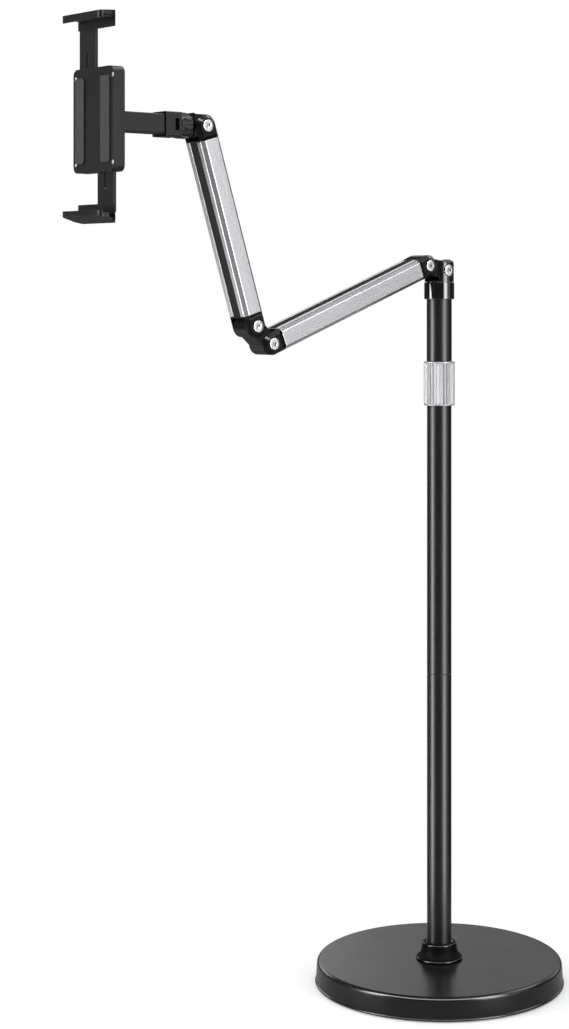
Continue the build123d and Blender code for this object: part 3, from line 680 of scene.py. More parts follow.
def metal(
    name,
    colour,
    rough,
    stretch=ALONG_ARM,
    turn=(0, 0, 0),
    line_scale=2500.0,
    spread=0.2,
    strength=0.2,
    metallic=1.0,
    channel=None,
):
    """Bare or anodised metal with fine lines along one direction, edges lightened by wear and as painted edge
    highlights, and painted shade in hollows and in an arm's channel.
    """
    material, tree, shader, place = start_material(name)
    mapping = tree.nodes.new("ShaderNodeMapping")
    mapping.vector_type = "TEXTURE"
    mapping.inputs["Rotation"].default_value = [radians(angle) for angle in turn]
    mapping.inputs["Scale"].default_value = [1 / value for value in stretch]
    tree.links.new(place, mapping.inputs["Vector"])
    group = put_group(
        tree,
        drawn_lines(),
        {"Vector": place, "Line Vector": mapping.outputs["Vector"]},
        Line_Scale=line_scale,
        Roughness=rough,
        Roughness_Spread=spread,
    )
    connect(tree, shader, group, strength, 0.02)
    tone = mix_colours(tree, group.outputs["Shade"], scaled(colour, 0.86), scaled(colour, 1.12))
    wear_and_shade = put_group(tree, rubbed_edges(), {"Vector": place}, Amount=0.5)
    # Lighter edges: rubbed wear, and also painted edge highlights.
    tone = mix_colours(tree, wear_and_shade.outputs["Mask"], tone, scaled(colour, 1.35))
    # Painted shade: hollows darkened to 0.15 of the colour by ambient occlusion.
    tone = mix_colours(tree, wear_and_shade.outputs["Open"], scaled(colour, 0.15), tone)
    # Painted shade: the walls and floor of an arm's channel take the strips' dark colour.
    if channel:
        tone = mix_colours(tree, inside_channel(tree, place), tone, channel)
    tree.links.new(tone, shader.inputs["Base Color"])
    shader.inputs["Metallic"].default_value = metallic
    return material


def coat(grain, specular, coat_roughness, polished, **more):
    """The settings of a paint whose edges are polished."""
    shader = {"Specular_IOR_Level": specular, "Coat_Roughness": coat_roughness}
    return {"grain": grain, "polished": polished, **shader, **more}


FINISHES = {  # how the finish of each slot is made, from which colour, how rough, and with what else
    "base_paint": (coating, "base", 0.26, coat(2200.0, 0.29, 0.06, (0.35, 0.9), strength=0.05)),
    "pole_paint": (coating, "pole", 0.33, {"grain": 2600.0, "strength": 0.04, "Specular_IOR_Level": 0.5}),
    "gloss_black": (
        coating, "gloss", 0.12, {"grain": 300.0, "spread": 0.03, "strength": 0.03, "Coat_Weight": 1.0}
    ),
    "knuckle_black": (coating, "knuckle", 0.3, coat(2400.0, 0.13, 0.12, (0.3, 0.95), strength=0.1)),
    "holder_black": (coating, "holder", 0.36, coat(2600.0, 0.28, 0.16, (0.25, 0.95))),
    "channel_black": (
        coating, "channel", 0.6, {"grain": 1800.0, "strength": 0.2, "depth": 0.03, "Specular_IOR_Level": 0.12}
    ),
    "black_rubber": (coating, "rubber", 0.75, {"grain": 1100.0, "strength": 0.5, "depth": 0.06}),
    "natural_nylon": (coating, "nylon", 0.45, {"Subsurface_Weight": 0.1}),
    "arm_aluminium": (metal, "aluminium", 0.34, {}),
    "bright_steel": (
        metal, "bright", 0.14, {"stretch": PLAIN, "line_scale": 3500.0, "spread": 0.04, "strength": 0.02}
    ),
    "plain_steel": (metal, "steel", 0.3, {"stretch": ROUND_POLE}),
    "iron_weight": (
        coating, "iron", 0.6, {"grain": 700.0, "spread": 0.2, "strength": 0.8, "depth": 0.15, "Metallic": 0.6}
    ),
}


def finish(slot):
    """The material of one of the record's finishes, made when it is first asked for."""
    name = f"{slot} finish"
    if name in bpy.data.materials:
        return bpy.data.materials[name]
    build, look, rough, more = FINISHES[slot]
    return build(name, getattr(bpy.context.scene.stand_looks, look), rough, **more)


def collar_finish():
    """Satin anodised metal with its turning lines drawn along the flutes."""
    look = bpy.context.scene.stand_looks
    return metal("arm_aluminium collar", look.collar, 0.45, ROUND_POLE, strength=0.1, metallic=0.5)


def gloss_finish(part, rough, **more):
    """Glossy black for one piece."""
    name = f"glossy black {part}"
    gloss = bpy.context.scene.stand_looks.gloss
    return coating(name, gloss, rough, grain=900.0, spread=0.04, strength=0.05, **more)


def arm_finish(arm, angle):
    """The arms' aluminium, with its drawn lines along one arm and painted shade in its channels."""
    name = f"arm_aluminium {arm}"
    if name not in bpy.data.materials:
        look = bpy.context.scene.stand_looks
        metal(name, look.aluminium, 0.28, turn=(-angle, 0, 0), strength=0.2, channel=look.channel)
    return bpy.data.materials[name]


# What a user would change


def length(name, description, default):
    """A size in metres that a user can change."""
    return FloatProperty(name=name, description=description, default=default, unit="LENGTH", precision=5)


def colour(name, description, default):
    """A colour that a user can change."""
    return FloatVectorProperty(
        name=name, description=description, default=default, subtype="COLOR", min=0.0, max=1.0
    )


class StandSizes(bpy.types.PropertyGroup):
    """Sizes of the stand's visible pieces."""

    steps: IntProperty(name="Steps", description="Faces round a turned piece", default=96, min=24, max=256)
    base_radius: length("Base radius", "Over the rolled lip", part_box("base_cover")[1].x)
    base_height: length("Base height", "Floor to the top of the cover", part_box("base_cover")[1].z)
    base_edge: length("Base edge", "Radius of the cover's top edge", 0.004)
    lip: length("Lip", "Radius of the rolled lip", 0.0011)
    pole_radius: length("Pole radius", "Outside of the pole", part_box("lower_pole_tube")[1].x)
    sleeve_radius: length("Sleeve radius", "Outside of the upper sleeve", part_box("upper_sleeve_tube")[1].x)
    cap_radius: length("Cap radius", "Outside of the swivel cap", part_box("swivel_cap")[1].x)
    collar_radius: length("Collar radius", "Outside of the twist collar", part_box("height_lock_collar")[1].x)
    flute_count: IntProperty(name="Flutes", description="Flutes round the collar", default=32, min=8, max=80)
    flute_depth: length("Flute depth", "How deep the flutes are", 0.0007)
    collar_band: length("Collar band", "Smooth band at each end of the flutes", 0.0012)
    cheek_chamfer: length("Cheek chamfer", "Chamfer of the arm ends and the arms", 0.0034)
    rib_count: IntProperty(name="Ribs", description="Ribs round the ball nut", default=16, min=8, max=60)
    rib_height: length("Rib height", "How far the ribs stand out", 0.0008)


class StandLooks(bpy.types.PropertyGroup):
    """Colours of the stand's finishes."""

    base: colour("Base", "Painted base cover", (0.009, 0.009, 0.0096))
    pole: colour("Pole", "Painted tubes", (0.007, 0.007, 0.0075))
    gloss: colour("Gloss", "Glossy cap and boot", (0.005, 0.005, 0.0055))
    knuckle: colour("Knuckles", "Arm ends and links", (0.0075, 0.0075, 0.0084))
    holder: colour("Holder", "Neck, housing and jaws", (0.0085, 0.0085, 0.0092))
    channel: colour("Channels", "Strips in the arms", (0.012, 0.012, 0.0125))
    rubber: colour("Rubber", "Pads and mat", (0.016, 0.016, 0.016))
    nylon: colour("Nylon", "Bushes and brake pads", (0.72, 0.71, 0.66))
    aluminium: colour("Aluminium", "Arms", (0.585, 0.585, 0.607))
    collar: colour("Collar", "Twist collar", (0.38, 0.38, 0.395))
    bright: colour("Bright steel", "Hinge bolts", (0.9, 0.9, 0.9))
    steel: colour("Steel", "Nuts, washers and screws", (0.5, 0.5, 0.51))
    iron: colour("Iron", "Counterweight", (0.05, 0.05, 0.05))


class StandStage(bpy.types.PropertyGroup):
    """Camera, floor and lamps."""

    distance: length("Distance", "Camera to the pole, along the view", 2.14423)
    height: length("Height", "Camera above the floor", 0.68983)
    sideways: length("Sideways", "Pole to the right of the view's axis", 0.08427)
    turn: FloatProperty(
        name="Turn",
        description="Camera round the stand from its front",
        default=radians(49.992),
        subtype="ANGLE",
    )
    lens: FloatProperty(name="Lens", description="Focal length in millimetres", default=75.0)
    shift: FloatVectorProperty(
        name="Shift", description="Shift of the view", size=2, default=(-0.0685, -0.21709)
    )
    left_lamp: FloatProperty(name="Left lamp", description="Left strip in watts", default=26.0)
    right_lamp: FloatProperty(name="Right lamp", description="Right strip in watts", default=22.0)
    top_lamp: FloatProperty(name="Top lamp", description="Overhead lamp in watts", default=30.0)
    room: FloatProperty(name="Room", description="Strength of the room's even light", default=0.45)
    floor: colour("Floor", "Pale floor", (0.8, 0.8, 0.8))


# Each strip lamp's swing round the camera's side in degrees, and its distance, height, width and length
STRIPS = {"left": (-70.0, 2.2, 0.62, 0.35, 2.0), "right": (40.0, 2.4, 0.62, 0.35, 2.0)}
TOP_BOX, TOP_SIZE = (0, -0.2, 2.6), 2.4
FLOOR_RADIUS, FLOOR_DROP = 8.0, 0.0002
SHADOW_FADE = (0.125, 0.19)  # how far from the pole the floor fades to white
MIRROR_FADE = (0.26, 0.32)  # how far from the pole reflections stop seeing the floor
FLOOR_LIFT, FLOOR_MIRRORED = 0.3, 0.65  # its own light near the base, and how bright mirrors see it
STUDIO_DARK = 0.06  # strength of the studio between its panels

# What reflections see of the studio: the middle and half width of a panel round the camera's side,
# its bottom, top and softness, all in degrees, and its strength
PANELS = {
    "left strip": (-69.0, 11.0, -30.0, 45.0, 5.0, 11.5),
    "right strip": (48.0, 13.0, -30.0, 45.0, 9.0, 9.0),
    "right wall": (77.0, 9.0, -18.0, 45.0, 10.0, 0.8),
    "front light": (0.0, 75.0, 41.0, 56.0, 5.0, 8.0),
    "back light": (125.0, 24.0, 38.0, 58.0, 8.0, 2.5),
    "front fill": (-12.0, 30.0, -45.0, -19.0, 5.0, 0.3),
    "left wall": (-108.0, 22.0, -60.0, -20.0, 8.0, 1.2),
    "left backdrop": (-180.0, 50.0, 12.0, 30.0, 8.0, 1.5),
    "right backdrop": (180.0, 50.0, 12.0, 30.0, 8.0, 0.7),
    "ceiling": (95.0, 60.0, 62.0, 84.0, 10.0, 0.45),
    "floor": (0.0, 360.0, -100.0, -26.0, 6.0, 0.35),
}


# Base and pole


class STAND_OT_base(bpy.types.Operator):
    """Pressed base cover with its rolled lip, the rubber mat and the boot at the pole's foot"""

    bl_idname = "stand.base"
    bl_label = "Base"

    def execute(self, context):
        size = context.scene.stand_sizes
        outer, top = size.base_radius / MM, size.base_height / MM
        roll, edge, wall, lean, tuck = size.lip / MM, size.base_edge / MM, 1.5, 1.0, 0.25
        side = outer - 1.0
        hole = size.pole_radius / MM + 2 * FIT
        bottom = low("base_cover")
        shoulder = side - lean * (top - edge - bottom) / (top - bottom)
        profile = [(side - wall, bottom)]
        profile += arc((outer - roll, bottom + roll), roll, -90, 60, 8)
        profile += [(side, bottom + 2 * roll + tuck)]
        profile += arc((shoulder - edge, top - edge), edge, 2, 90, 10)
        profile += [(hole, top), (hole, top - wall), (shoulder - edge, top - wall)]
        profile += [(shoulder - wall, top - edge)]
        cover = turned("cover_shell", profile, 2 * size.steps)
        finished(ease(cover, 0), "base_cover", "base_paint")

        mat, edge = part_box("base_rubber_mat")[1] / MM, 0.5
        profile = [(0, 0), (mat.x - edge, 0), (mat.x, edge), (mat.x, mat.z), (0, mat.z)]
        mat = turned("floor_mat", profile, 2 * size.steps, closed=False)
        finished(ease(mat, 0), "base_rubber_mat", "black_rubber")

        foot, crown, inner = low("pole_boot"), high("pole_boot"), size.pole_radius / MM + FIT
        flare, neck, roll = high("pole_boot", 0), 17.0, 1.3
        waist, throat = (19.3, foot + 5.8), (17.4, foot + 12.0)
        profile = [(inner, foot)] + arc((flare - roll, foot + roll), roll, -90, 50, 10)
        profile += arc_through(profile[-1], waist, throat, 14)[1:]
        profile += arc((neck - roll, crown - roll), roll, 0, 90, 8)
        profile += [(13.6, crown), (12.9, crown - 0.5), (inner, crown - 0.8)]
        boot = turned("pole_boot_ring", profile, size.steps)
        matt = (foot + 2.4, crown - 1.6)
        polish = {"polished": (0.15, 0.95), "matt": matt, "Specular_IOR_Level": 0.03, "Coat_Roughness": 0.1}
        finished(ease(boot, 0), "pole_boot", "gloss_black", gloss_finish("boot", 0.45, **polish))
        return {"FINISHED"}


class STAND_OT_pole(bpy.types.Operator):
    """Pole tubes and the upper sleeve, with small chamfers at their seams"""

    bl_idname = "stand.pole"
    bl_label = "Pole"

    def execute(self, context):
        size = context.scene.stand_sizes
        tubes = [  # name, node, radius, wall, and chamfer at the foot and at the head
            ("lower_tube", "lower_pole_tube", size.pole_radius, 1.2, 0.0, 0.4),
            ("middle_tube", "middle_pole_tube", size.pole_radius, 1.2, 0.4, 0.2),
            ("sleeve_tube", "upper_sleeve_tube", size.sleeve_radius, 1.8, 0.3, 0.0),
        ]
        for name, node, radius, wall, foot, head in tubes:
            outer, bottom, top = radius / MM, low(node), high(node)
            profile = [(outer - wall, bottom), (outer - foot, bottom), (outer, bottom + foot)]
            profile += [(outer, top - head), (outer - head, top), (outer - wall, top)]
            finished(ease(turned(name, profile, size.steps), 0), node, "pole_paint")
        return {"FINISHED"}


class STAND_OT_lock(bpy.types.Operator):
    """Fluted twist collar of the height lock"""

    bl_idname = "stand.lock"
    bl_label = "Height lock"

    def execute(self, context):
        size = context.scene.stand_sizes
        outer, band, depth = size.collar_radius / MM, size.collar_band / MM, size.flute_depth / MM
        bottom, top = low("height_lock_collar"), high("height_lock_collar")
        inner, edge, slant, bore, skirt, per_flute = outer - 1.6, 0.5, 0.35, 11.1, 3.5, 8
        rows = [bottom + band, bottom + band + slant, top - band - slant, top - band]
        profile = [(inner, bottom)] + arc((outer - edge, bottom + edge), edge, -90, 0, 3)
        profile += [(outer, row) for row in rows] + arc((outer - edge, top - edge), edge, 0, 90, 3)
        profile += [(bore, top), (bore, top - skirt), (inner, top - skirt)]
        collar = turned("fluted_collar", profile, size.flute_count * per_flute)

        def in_groove(first, last, deepest):
            """A test for the middle of the flutes, no deeper yet than a given depth."""

            def test(corner):
                x, y, z = corner
                inside = rows[1] - NEAR < z < rows[2] + NEAR and hypot(x, y) > outer - deepest
                return inside and first <= ring_step(corner, size.flute_count, per_flute) <= last

            return test

        for first, last, share, deepest in ((1, 6, 0.45, 0.05), (2, 5, 0.4, 0.6), (3, 4, 0.15, 0.6)):
            pick(collar, "VERT", in_groove(first, last, deepest))
            shrink = 1 - depth * share / outer
            bpy.ops.transform.resize(value=(shrink, shrink, 1), center_override=(0, 0, 0))
            let_go()
        finished(ease(collar, 0, angle=40), "height_lock_collar", "arm_aluminium", collar_finish())
        return {"FINISHED"}


def bolt_holes(reach):
    """Cutters for a hinge's bore and for the seats of its bolt and nut."""
    holes = [rod("bore", HINGE["pivot"] + FIT, -reach, reach, "X")]
    for side in (-1, 1):
        holes.append(rod("seat", HINGE["seat_radius"], side * HINGE["seat"], side * reach, "X"))
    return holes


class STAND_OT_swivel(bpy.types.Operator):
    """Glossy swivel cap and the slotted fork that turns in it"""

    bl_idname = "stand.swivel"
    bl_label = "Swivel"

    def execute(self, context):
        size = context.scene.stand_sizes
        outer, bottom, top = size.cap_radius / MM, low("swivel_cap"), high("swivel_cap")
        socket, recess, edge = size.sleeve_radius / MM + FIT, outer - 1.85, 0.6
        floor, shaft, deck = low("swivel_washer"), 3.1, bottom + 4.2
        profile = [(socket, bottom)] + arc((outer - edge, bottom + edge), edge, -90, 0, 5)
        profile += arc((outer - edge, top - edge), edge, 0, 90, 5)
        profile += [(recess, top), (recess, floor), (shaft, floor), (shaft, deck), (socket, deck)]
        cap = turned("swivel_cap_ring", profile, size.steps)
        finished(ease(cap, 0), "swivel_cap", "gloss_black")

        radius, dome, corner, gap, centre = 14.6, 11.4, 6.0, 0.3, SHOULDER[1]
        seat, shoulder, crown = floor + 0.7, centre - 4.0, centre + dome
        bottom, start = top + gap, seat - OVERRUN
        body = [(0, seat), (recess - gap, seat), (recess - gap, bottom), (radius, bottom)]
        body += [(radius, centre + radius), (0, centre + radius)]
        fork = turned("swivel_fork_head", body, size.steps, closed=False)
        lean = degrees(atan2(sqrt(radius**2 - dome**2) / 2, dome))
        side = [(-radius, start), (radius, start), (radius, shoulder)]
        side += arc((0, centre), dome, lean, 180 - lean, 24) + [(-radius, shoulder)]
        common(fork, swept("dome", across(side, -radius - 1), (2 * radius + 2, 0, 0)))
        face = arc((radius - corner, crown - corner), corner, 0, 90, 12)
        face += [(-x, up) for x, up in reversed(face)] + [(-radius, start), (radius, start)]
        common(fork, swept("shoulders", ahead(face, -radius - 1), (0, -2 * radius - 2, 0)))
        inner, web, reach = HINGE["cheek_inner"], centre - HINGE["web_start"], 2 * radius
        cut(fork, block("slot", -inner, inner, -radius - 1, radius + 1, web, centre + reach))
        cut(fork, *[moved(cutter, (0, 0, centre)) for cutter in bolt_holes(reach)])
        cut(fork, rod("well", 5.6, seat + 4.1, centre), rod("shaft", shaft, start, centre))
        polish = {"polished": (-2.0, 0.6), "Specular_IOR_Level": 0.25, "Coat_Roughness": 0.15}
        finished(ease(fork, 0.5, 3), "swivel_fork", "knuckle_black", gloss_finish("fork", 0.24, **polish))
        return {"FINISHED"}


# Hinges


def pivot_bolt(name):
    """Bolt with a low rounded head and a hexagon socket on +X."""
    seat, shank, radius, edge, tip, chamfer = HINGE["seat"], HINGE["pivot"], 5.6, 0.3, -16.7, 0.4
    head, corner, face, hexagon, deep = seat + 2.4, 0.6, 3.4, 2.31, 1.5
    profile = [(0, tip), (shank - chamfer, tip), (shank, tip + chamfer), (shank, seat), (radius - edge, seat)]
    profile += [(radius, seat + edge)] + arc((radius - corner, head - 0.75), corner, 0, 75, 6)
    profile += [(face, head), (0, head)]
    bolt = turned(name, profile, 64, closed=False)
    socket = rod("socket", hexagon, head - deep, head + OVERRUN, "Z", 6)
    cone = turned("cone", [(0, head - 1.95), (2.2, head - 1.45), (0, head - 1.4)], 32, closed=False)
    cut(bolt, socket, cone)
    return moved(ease(bolt, 0.12, 2, 35), turn=(0, 90, 0))


def pivot_nut(name):
    """Hexagon nut with chamfered corners on -X."""
    near, far, flat, wide = HINGE["seat"], HINGE["seat"] + 3.2, 5.0, 6.1
    nut = rod(name, flat / cos(pi / 6), -far, -near, "Z", 6)
    cone = [(0, -far), (flat, -far), (wide, -far + 0.65), (wide, -near - 0.5)]
    cone += [(flat + 0.2, -near), (0, -near)]
    common(nut, turned("cone", cone, 48, closed=False))
    cut(nut, rod("bore", HINGE["pivot"] + FIT, -far - 1, 0, "Z", 48))
    return moved(ease(nut, 0.15, 2), turn=(0, 90, 0))


def arm_end(name):
    """Fork of an arm's end: two rounded cheeks, the web between them and the plug."""
    half, outer, reach = ARM["depth"] / 2, HINGE["cheek_outer"], HINGE["reach"]
    side = [(reach, -half)] + arc((0, 0), half, -90, -270, 36) + [(reach, half)]
    end = swept(name, across(side, -outer), (2 * outer, 0, 0))
    chamfer = bpy.context.scene.stand_sizes.cheek_chamfer / MM
    for face in (-outer, outer):
        bevel_edges(
            end, chamfer, 1, lambda corner: abs(corner[0] - face) < NEAR and -corner[1] < reach + NEAR
        )
    inner = HINGE["cheek_inner"]
    cut(end, block("slot", -inner, inner, -half - 1, HINGE["web_start"], -half - 1, half + 1))
    cut(end, *bolt_holes(outer + OVERRUN))
    width, depth = ARM["width"] / 2 - ARM["wall"] - FIT, half - ARM["channel_depth"] - ARM["floor"] - FIT
    sunk, plug = 0.6, 15.0
    fused(end, block("plug", -width, width, reach - sunk, reach + plug, -depth, depth))
    return ease(end, 0.3, 2, 25)


class STAND_OT_bolts(bpy.types.Operator):
    """Bright hinge bolts with their nuts, at every hinge"""

    bl_idname = "stand.bolts"
    bl_label = "Hinge bolts"

    def execute(self, context):
        for kind, build, slot in (("bolt", pivot_bolt, "bright_steel"), ("nut", pivot_nut, "plain_steel")):
            first = build(f"shoulder_{kind}")
            for arm, start, end in (("lower_arm", SHOULDER_END, ELBOW), ("upper_arm", ELBOW_END, HEAD)):
                angle = slope(start, end)
                near = at(start, angle, copied(first, f"{arm}_{kind}s"))
                far = at(end, angle, copied(first, f"{arm}_{kind}_far"))
                finished(joined(near, far), f"{arm}_pivot_{kind}s", slot)
            finished(at(SHOULDER, 0, first), f"shoulder_pivot_{kind}", slot)
        return {"FINISHED"}


class STAND_OT_links(bpy.types.Operator):
    """Short links with a rounded tongue at each end"""

    bl_idname = "stand.links"
    bl_label = "Links"

    def execute(self, context):
        lobe, reach, waist, fillet = HINGE["knuckle"], HINGE["link"], 8.4, 3.0
        across_fillet = sqrt((lobe + fillet) ** 2 - (waist + fillet) ** 2)
        start = degrees(atan2(waist + fillet, across_fillet))
        upper = arc((0, 0), lobe, 180, start, 20)
        upper += arc((across_fillet, waist + fillet), fillet, start - 180, -90, 6)
        upper += [(reach - x, up) for x, up in reversed(upper)]
        lower = [(x, -up) for x, up in reversed(upper[1:-1])]
        outline = upper + lower
        half = HINGE["tongue"]
        for node, place, end in (("shoulder_link", SHOULDER, SHOULDER_END), ("elbow_link", ELBOW, ELBOW_END)):
            link = swept(f"{node}_body", across(outline, -half), (2 * half, 0, 0))
            for away in (0, reach):
                bore = rod("bore", HINGE["pivot"] + LOOSE, -half - 1, half + 1, "X")
                cut(link, moved(bore, (0, -away, 0)))
            finished(at(place, slope(place, end), ease(link, 0.7, 3)), node, "knuckle_black")
        return {"FINISHED"}


class STAND_OT_arms(bpy.types.Operator):
    """Two aluminium arms with their channels, and the black fork at each end"""

    bl_idname = "stand.arms"
    bl_label = "Arms"

    def execute(self, context):
        chamfer = context.scene.stand_sizes.cheek_chamfer / MM
        half, depth = ARM["width"] / 2, ARM["depth"] / 2
        channel, floor = ARM["channel"] / 2, depth - ARM["channel_depth"]
        upper = [(half, 0), (half, depth - chamfer), (half - chamfer, depth)]
        upper += [(channel, depth), (channel, floor)]
        upper += [(-x, up) for x, up in reversed(upper)]
        outline = upper + [(-x, -up) for x, up in upper[1:-1]]
        first_end = arm_end("arm_end")
        for arm, start, end in (("lower_arm", SHOULDER_END, ELBOW), ("upper_arm", ELBOW_END, HEAD)):
            angle, reach = slope(start, end), span(start, end)
            near, far = HINGE["reach"], reach - HINGE["reach"]
            bar = swept(f"{arm}_bar", ahead(outline, near), (0, near - far, 0))
            width, up = half - ARM["wall"], floor - ARM["floor"]
            cut(bar, block("hollow", -width, width, near - 1, far + 1, -up, up))
            bar = at(start, angle, ease(bar, 0.45, 3))
            finished(bar, f"{arm}_profile", "arm_aluminium", arm_finish(arm, angle))
            rear = at(start, angle, copied(first_end, f"{arm}_rear_end"))
            front = copied(first_end, f"{arm}_front_end", (0, -reach, 0), (0, 0, 180))
            finished(rear, f"{arm}_rear_fork", "knuckle_black")
            finished(at(start, angle, front), f"{arm}_front_fork", "knuckle_black")
        bpy.data.meshes.remove(first_end.data)
        return {"FINISHED"}


# Head and neck


class STAND_OT_head(bpy.types.Operator):
    """Dished knuckle with its ball, and the ribbed ring nut"""

    bl_idname = "stand.head"
    bl_label = "Ball joint"

    def execute(self, context):
        size = context.scene.stand_sizes
        reach, lobe, rim_half, flare = span(HEAD, BALL), HINGE["knuckle"], 11.8, 10.8
        gap, ball_radius, stem_radius, sunk = 0.4, 7.5, 3.8, 1.9
        dish = hypot(12.2, 5.5) + gap
        rim = reach - sqrt(dish**2 - (rim_half - gap) ** 2)
        side = [(flare, -lobe), (rim, -rim_half), (rim, rim_half), (flare, lobe)]
        side += arc((0, 0), lobe, 90, 270, 36)
        half = HINGE["tongue"]
        knuckle = swept("head_knuckle_body", across(side, -half), (2 * half, 0, 0))
        ease(knuckle, 0.6, 3)
        cut(knuckle, ball("dish", dish, (0, -reach, 0)))
        stem = rod("stem", stem_radius, reach - dish - sunk, reach, "Y")
        fused(knuckle, stem, ball("ball", ball_radius, (0, -reach, 0)))
        cut(knuckle, rod("bore", HINGE["pivot"] + LOOSE, -half - 1, half + 1, "X"))
        finished(at(HEAD, 0, ease(knuckle, 0)), "head_knuckle", "knuckle_black")

        core, rear, front, mouth, hole, wall = 11.4, -5.5, 6.5, 10.3, 7.0, 2.2
        raised = [(-5.5, 0.0), (-4.9, 0.25), (-2.0, 0.65), (2.0, 1.0), (5.6, 1.0), (6.2, 0.6), (6.5, 0.2)]
        profile = [(hole + 1, rear)] + [(core, row) for row, share in raised]
        profile += [(mouth, front), (mouth, rear + wall), (hole, rear + wall)]
        per_rib, rib_steps = 10, (0, 1, 2, 3)
        nut = turned("ribbed_ring_nut", profile, size.rib_count * per_rib)
        for row, share in raised:

            def on_rib(corner):
                x, y, z = corner
                on_rim = abs(z - row) < NEAR and hypot(x, y) > core - FIT
                return on_rim and ring_step(corner, size.rib_count, per_rib) in rib_steps

            pick(nut, "VERT", on_rib)
            grow = 1 + size.rib_height / MM * share / core
            bpy.ops.transform.resize(value=(grow, grow, 1), center_override=(0, 0, 0))
            let_go()
        nut = moved(ease(nut, 0, angle=25), turn=(90, 0, 0))
        gloss = gloss_finish("ring nut", 0.25, Coat_Weight=0.3, Coat_Roughness=0.15)
        finished(at(BALL, 0, nut), "ball_lock_nut", "holder_black", gloss)
        return {"FINISHED"}


class STAND_OT_neck(bpy.types.Operator):
    """Square neck with its side windows and flange, and the four screws that hold it"""

    bl_idname = "stand.neck"
    bl_label = "Neck"

    def execute(self, context):
        start, box_end, end = 6.8, 24.0, -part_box("holder_neck")[0].y / MM - BALL[0]
        edge, stem_half, flange_half, plate, tapped = 1.2, 9.0, 20.0, 4.0, 15.5
        neck = swept("neck_body", ahead(rounded(11.0, 11.25, edge, 5), start), (0, start - box_end, 0))
        stem = ahead(rounded(stem_half, stem_half, edge, 5), box_end - 1)
        flange = ahead(rounded(flange_half, flange_half, 4.0, 8), end - plate)
        fused(neck, swept("stem", stem, (0, box_end - 1 - end, 0)), swept("flange", flange, (0, -plate, 0)))
        fused(neck, rod("fingers", 10.0, -2.9, start + 1, "Y"))
        cut(neck, ball("socket", 8.52, (0, 0, 0)))
        for side in (-1, 1):
            inner, outer = sorted((side * 6.0, side * 13.0))
            cut(neck, block("window", inner, outer, start + 2.7, start + 7.2, -5.5, 5.5))
        places = [(x, z) for x in (-tapped, tapped) for z in (-tapped, tapped)]
        for x, z in places:
            cut(neck, moved(rod("hole", 1.55, end - 6, end + 2, "Y", 24), (x, 0, z)))
        finished(at(BALL, 0, ease(neck, 0.4, 3)), "holder_neck", "holder_black")

        screws = screw_set("neck_screw", places, 1.5, 2.8, 2.0, 8.0, end - plate, -1)
        finished(at(BALL, 0, screws), "neck_screws", "plain_steel")
        return {"FINISHED"}


def screw(name, shank, head, height, grip, seat, facing):
    """Pan-head screw along the forward direction, its cross recess facing forward (1) or back (-1)."""
    profile = [(0, -grip), (shank * 0.6, -grip), (shank, -grip + 1.0), (shank, 0), (head, 0)]
    profile += [(head, height * 0.45)] + arc((head - height * 0.55, height * 0.45), height * 0.55, 10, 80, 4)
    profile += [(0, height)]
    piece = turned(name, profile, 32, closed=False)
    deep = height * 0.55
    arm, thin = head * 0.6, head * 0.13
    for long_x, long_y in ((arm, thin), (thin, arm)):
        outline = [(-long_x, -long_y), (long_x, -long_y), (long_x, long_y), (-long_x, long_y)]
        cut(piece, swept("recess", above(outline, height - deep), (0, 0, height)))
    ease(piece, 0)
    return moved(piece, (0, -seat, 0), (90 if facing > 0 else -90, 0, 0))


def screw_set(name, places, *sizes):
    """A screw at each place across and up, as one object."""
    return joined(*[moved(screw(f"{name}_{row}", *sizes), (x, 0, z)) for row, (x, z) in enumerate(places)])


# Holder and jaws


class STAND_OT_holder(bpy.types.Operator):
    """Flat housing behind the slot, with its rest pads and cover screws"""

    bl_idname = "stand.holder"
    bl_label = "Holder"

    def execute(self, context):
        rear = -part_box("holder_back_plate")[1].y / MM
        cover_front = -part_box("holder_front_cover")[0].y / MM
        cover_rear = -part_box("holder_front_cover")[1].y / MM
        plate_front, edge, middle = rear + 5.4, 0.6, (0, 0, HEAD[1])
        outline = rounded(32.0, 46.0, 6.0, 10)
        plate = swept("housing_back", ahead(outline, rear), (0, rear - cover_rear, 0))
        for side in (-1, 1):
            inner, outer = sorted((side * 1.6, side * 27.2))
            cut(plate, block("way", inner, outer, plate_front, cover_rear + 1, -50, 50))
            boss = rod("boss", 1.8, plate_front - 1, cover_rear, "Y", 32)
            fused(plate, moved(boss, (side * 14.4, 0, -side * 34.0)))
        finished(moved(ease(plate, edge, 3), middle), "holder_back_plate", "holder_black")

        cover = swept("housing_front", ahead(outline, cover_rear), (0, cover_rear - cover_front, 0))
        places = [(x, z) for x in (-29.6, 29.6) for z in (-38.0, 38.0)]
        sunk = cover_front - 1.5
        for x, z in places:
            cut(cover, moved(rod("seat", 2.35, sunk, cover_front + 1, "Y", 32), (x, 0, z)))
        finished(moved(ease(cover, edge, 3), middle), "holder_front_cover", "holder_black")
        screws = screw_set("cover_screw", places, 1.2, 2.25, 1.4, 5.4, sunk, 1)
        finished(moved(screws, middle), "holder_cover_screws", "plain_steel")

        front = -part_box("holder_rest_pads")[0].y / MM
        pads = []
        for side in (-1, 1):
            outline = rounded(7.0, 38.0, 3.0, 8, (side * 20.0, 0))
            pads.append(swept(f"rest_pad_{side}", ahead(outline, cover_front), (0, cover_front - front, 0)))
            ease(pads[-1], 0.5, 3)
        finished(moved(joined(*pads), middle), "holder_rest_pads", "black_rubber")
        return {"FINISHED"}


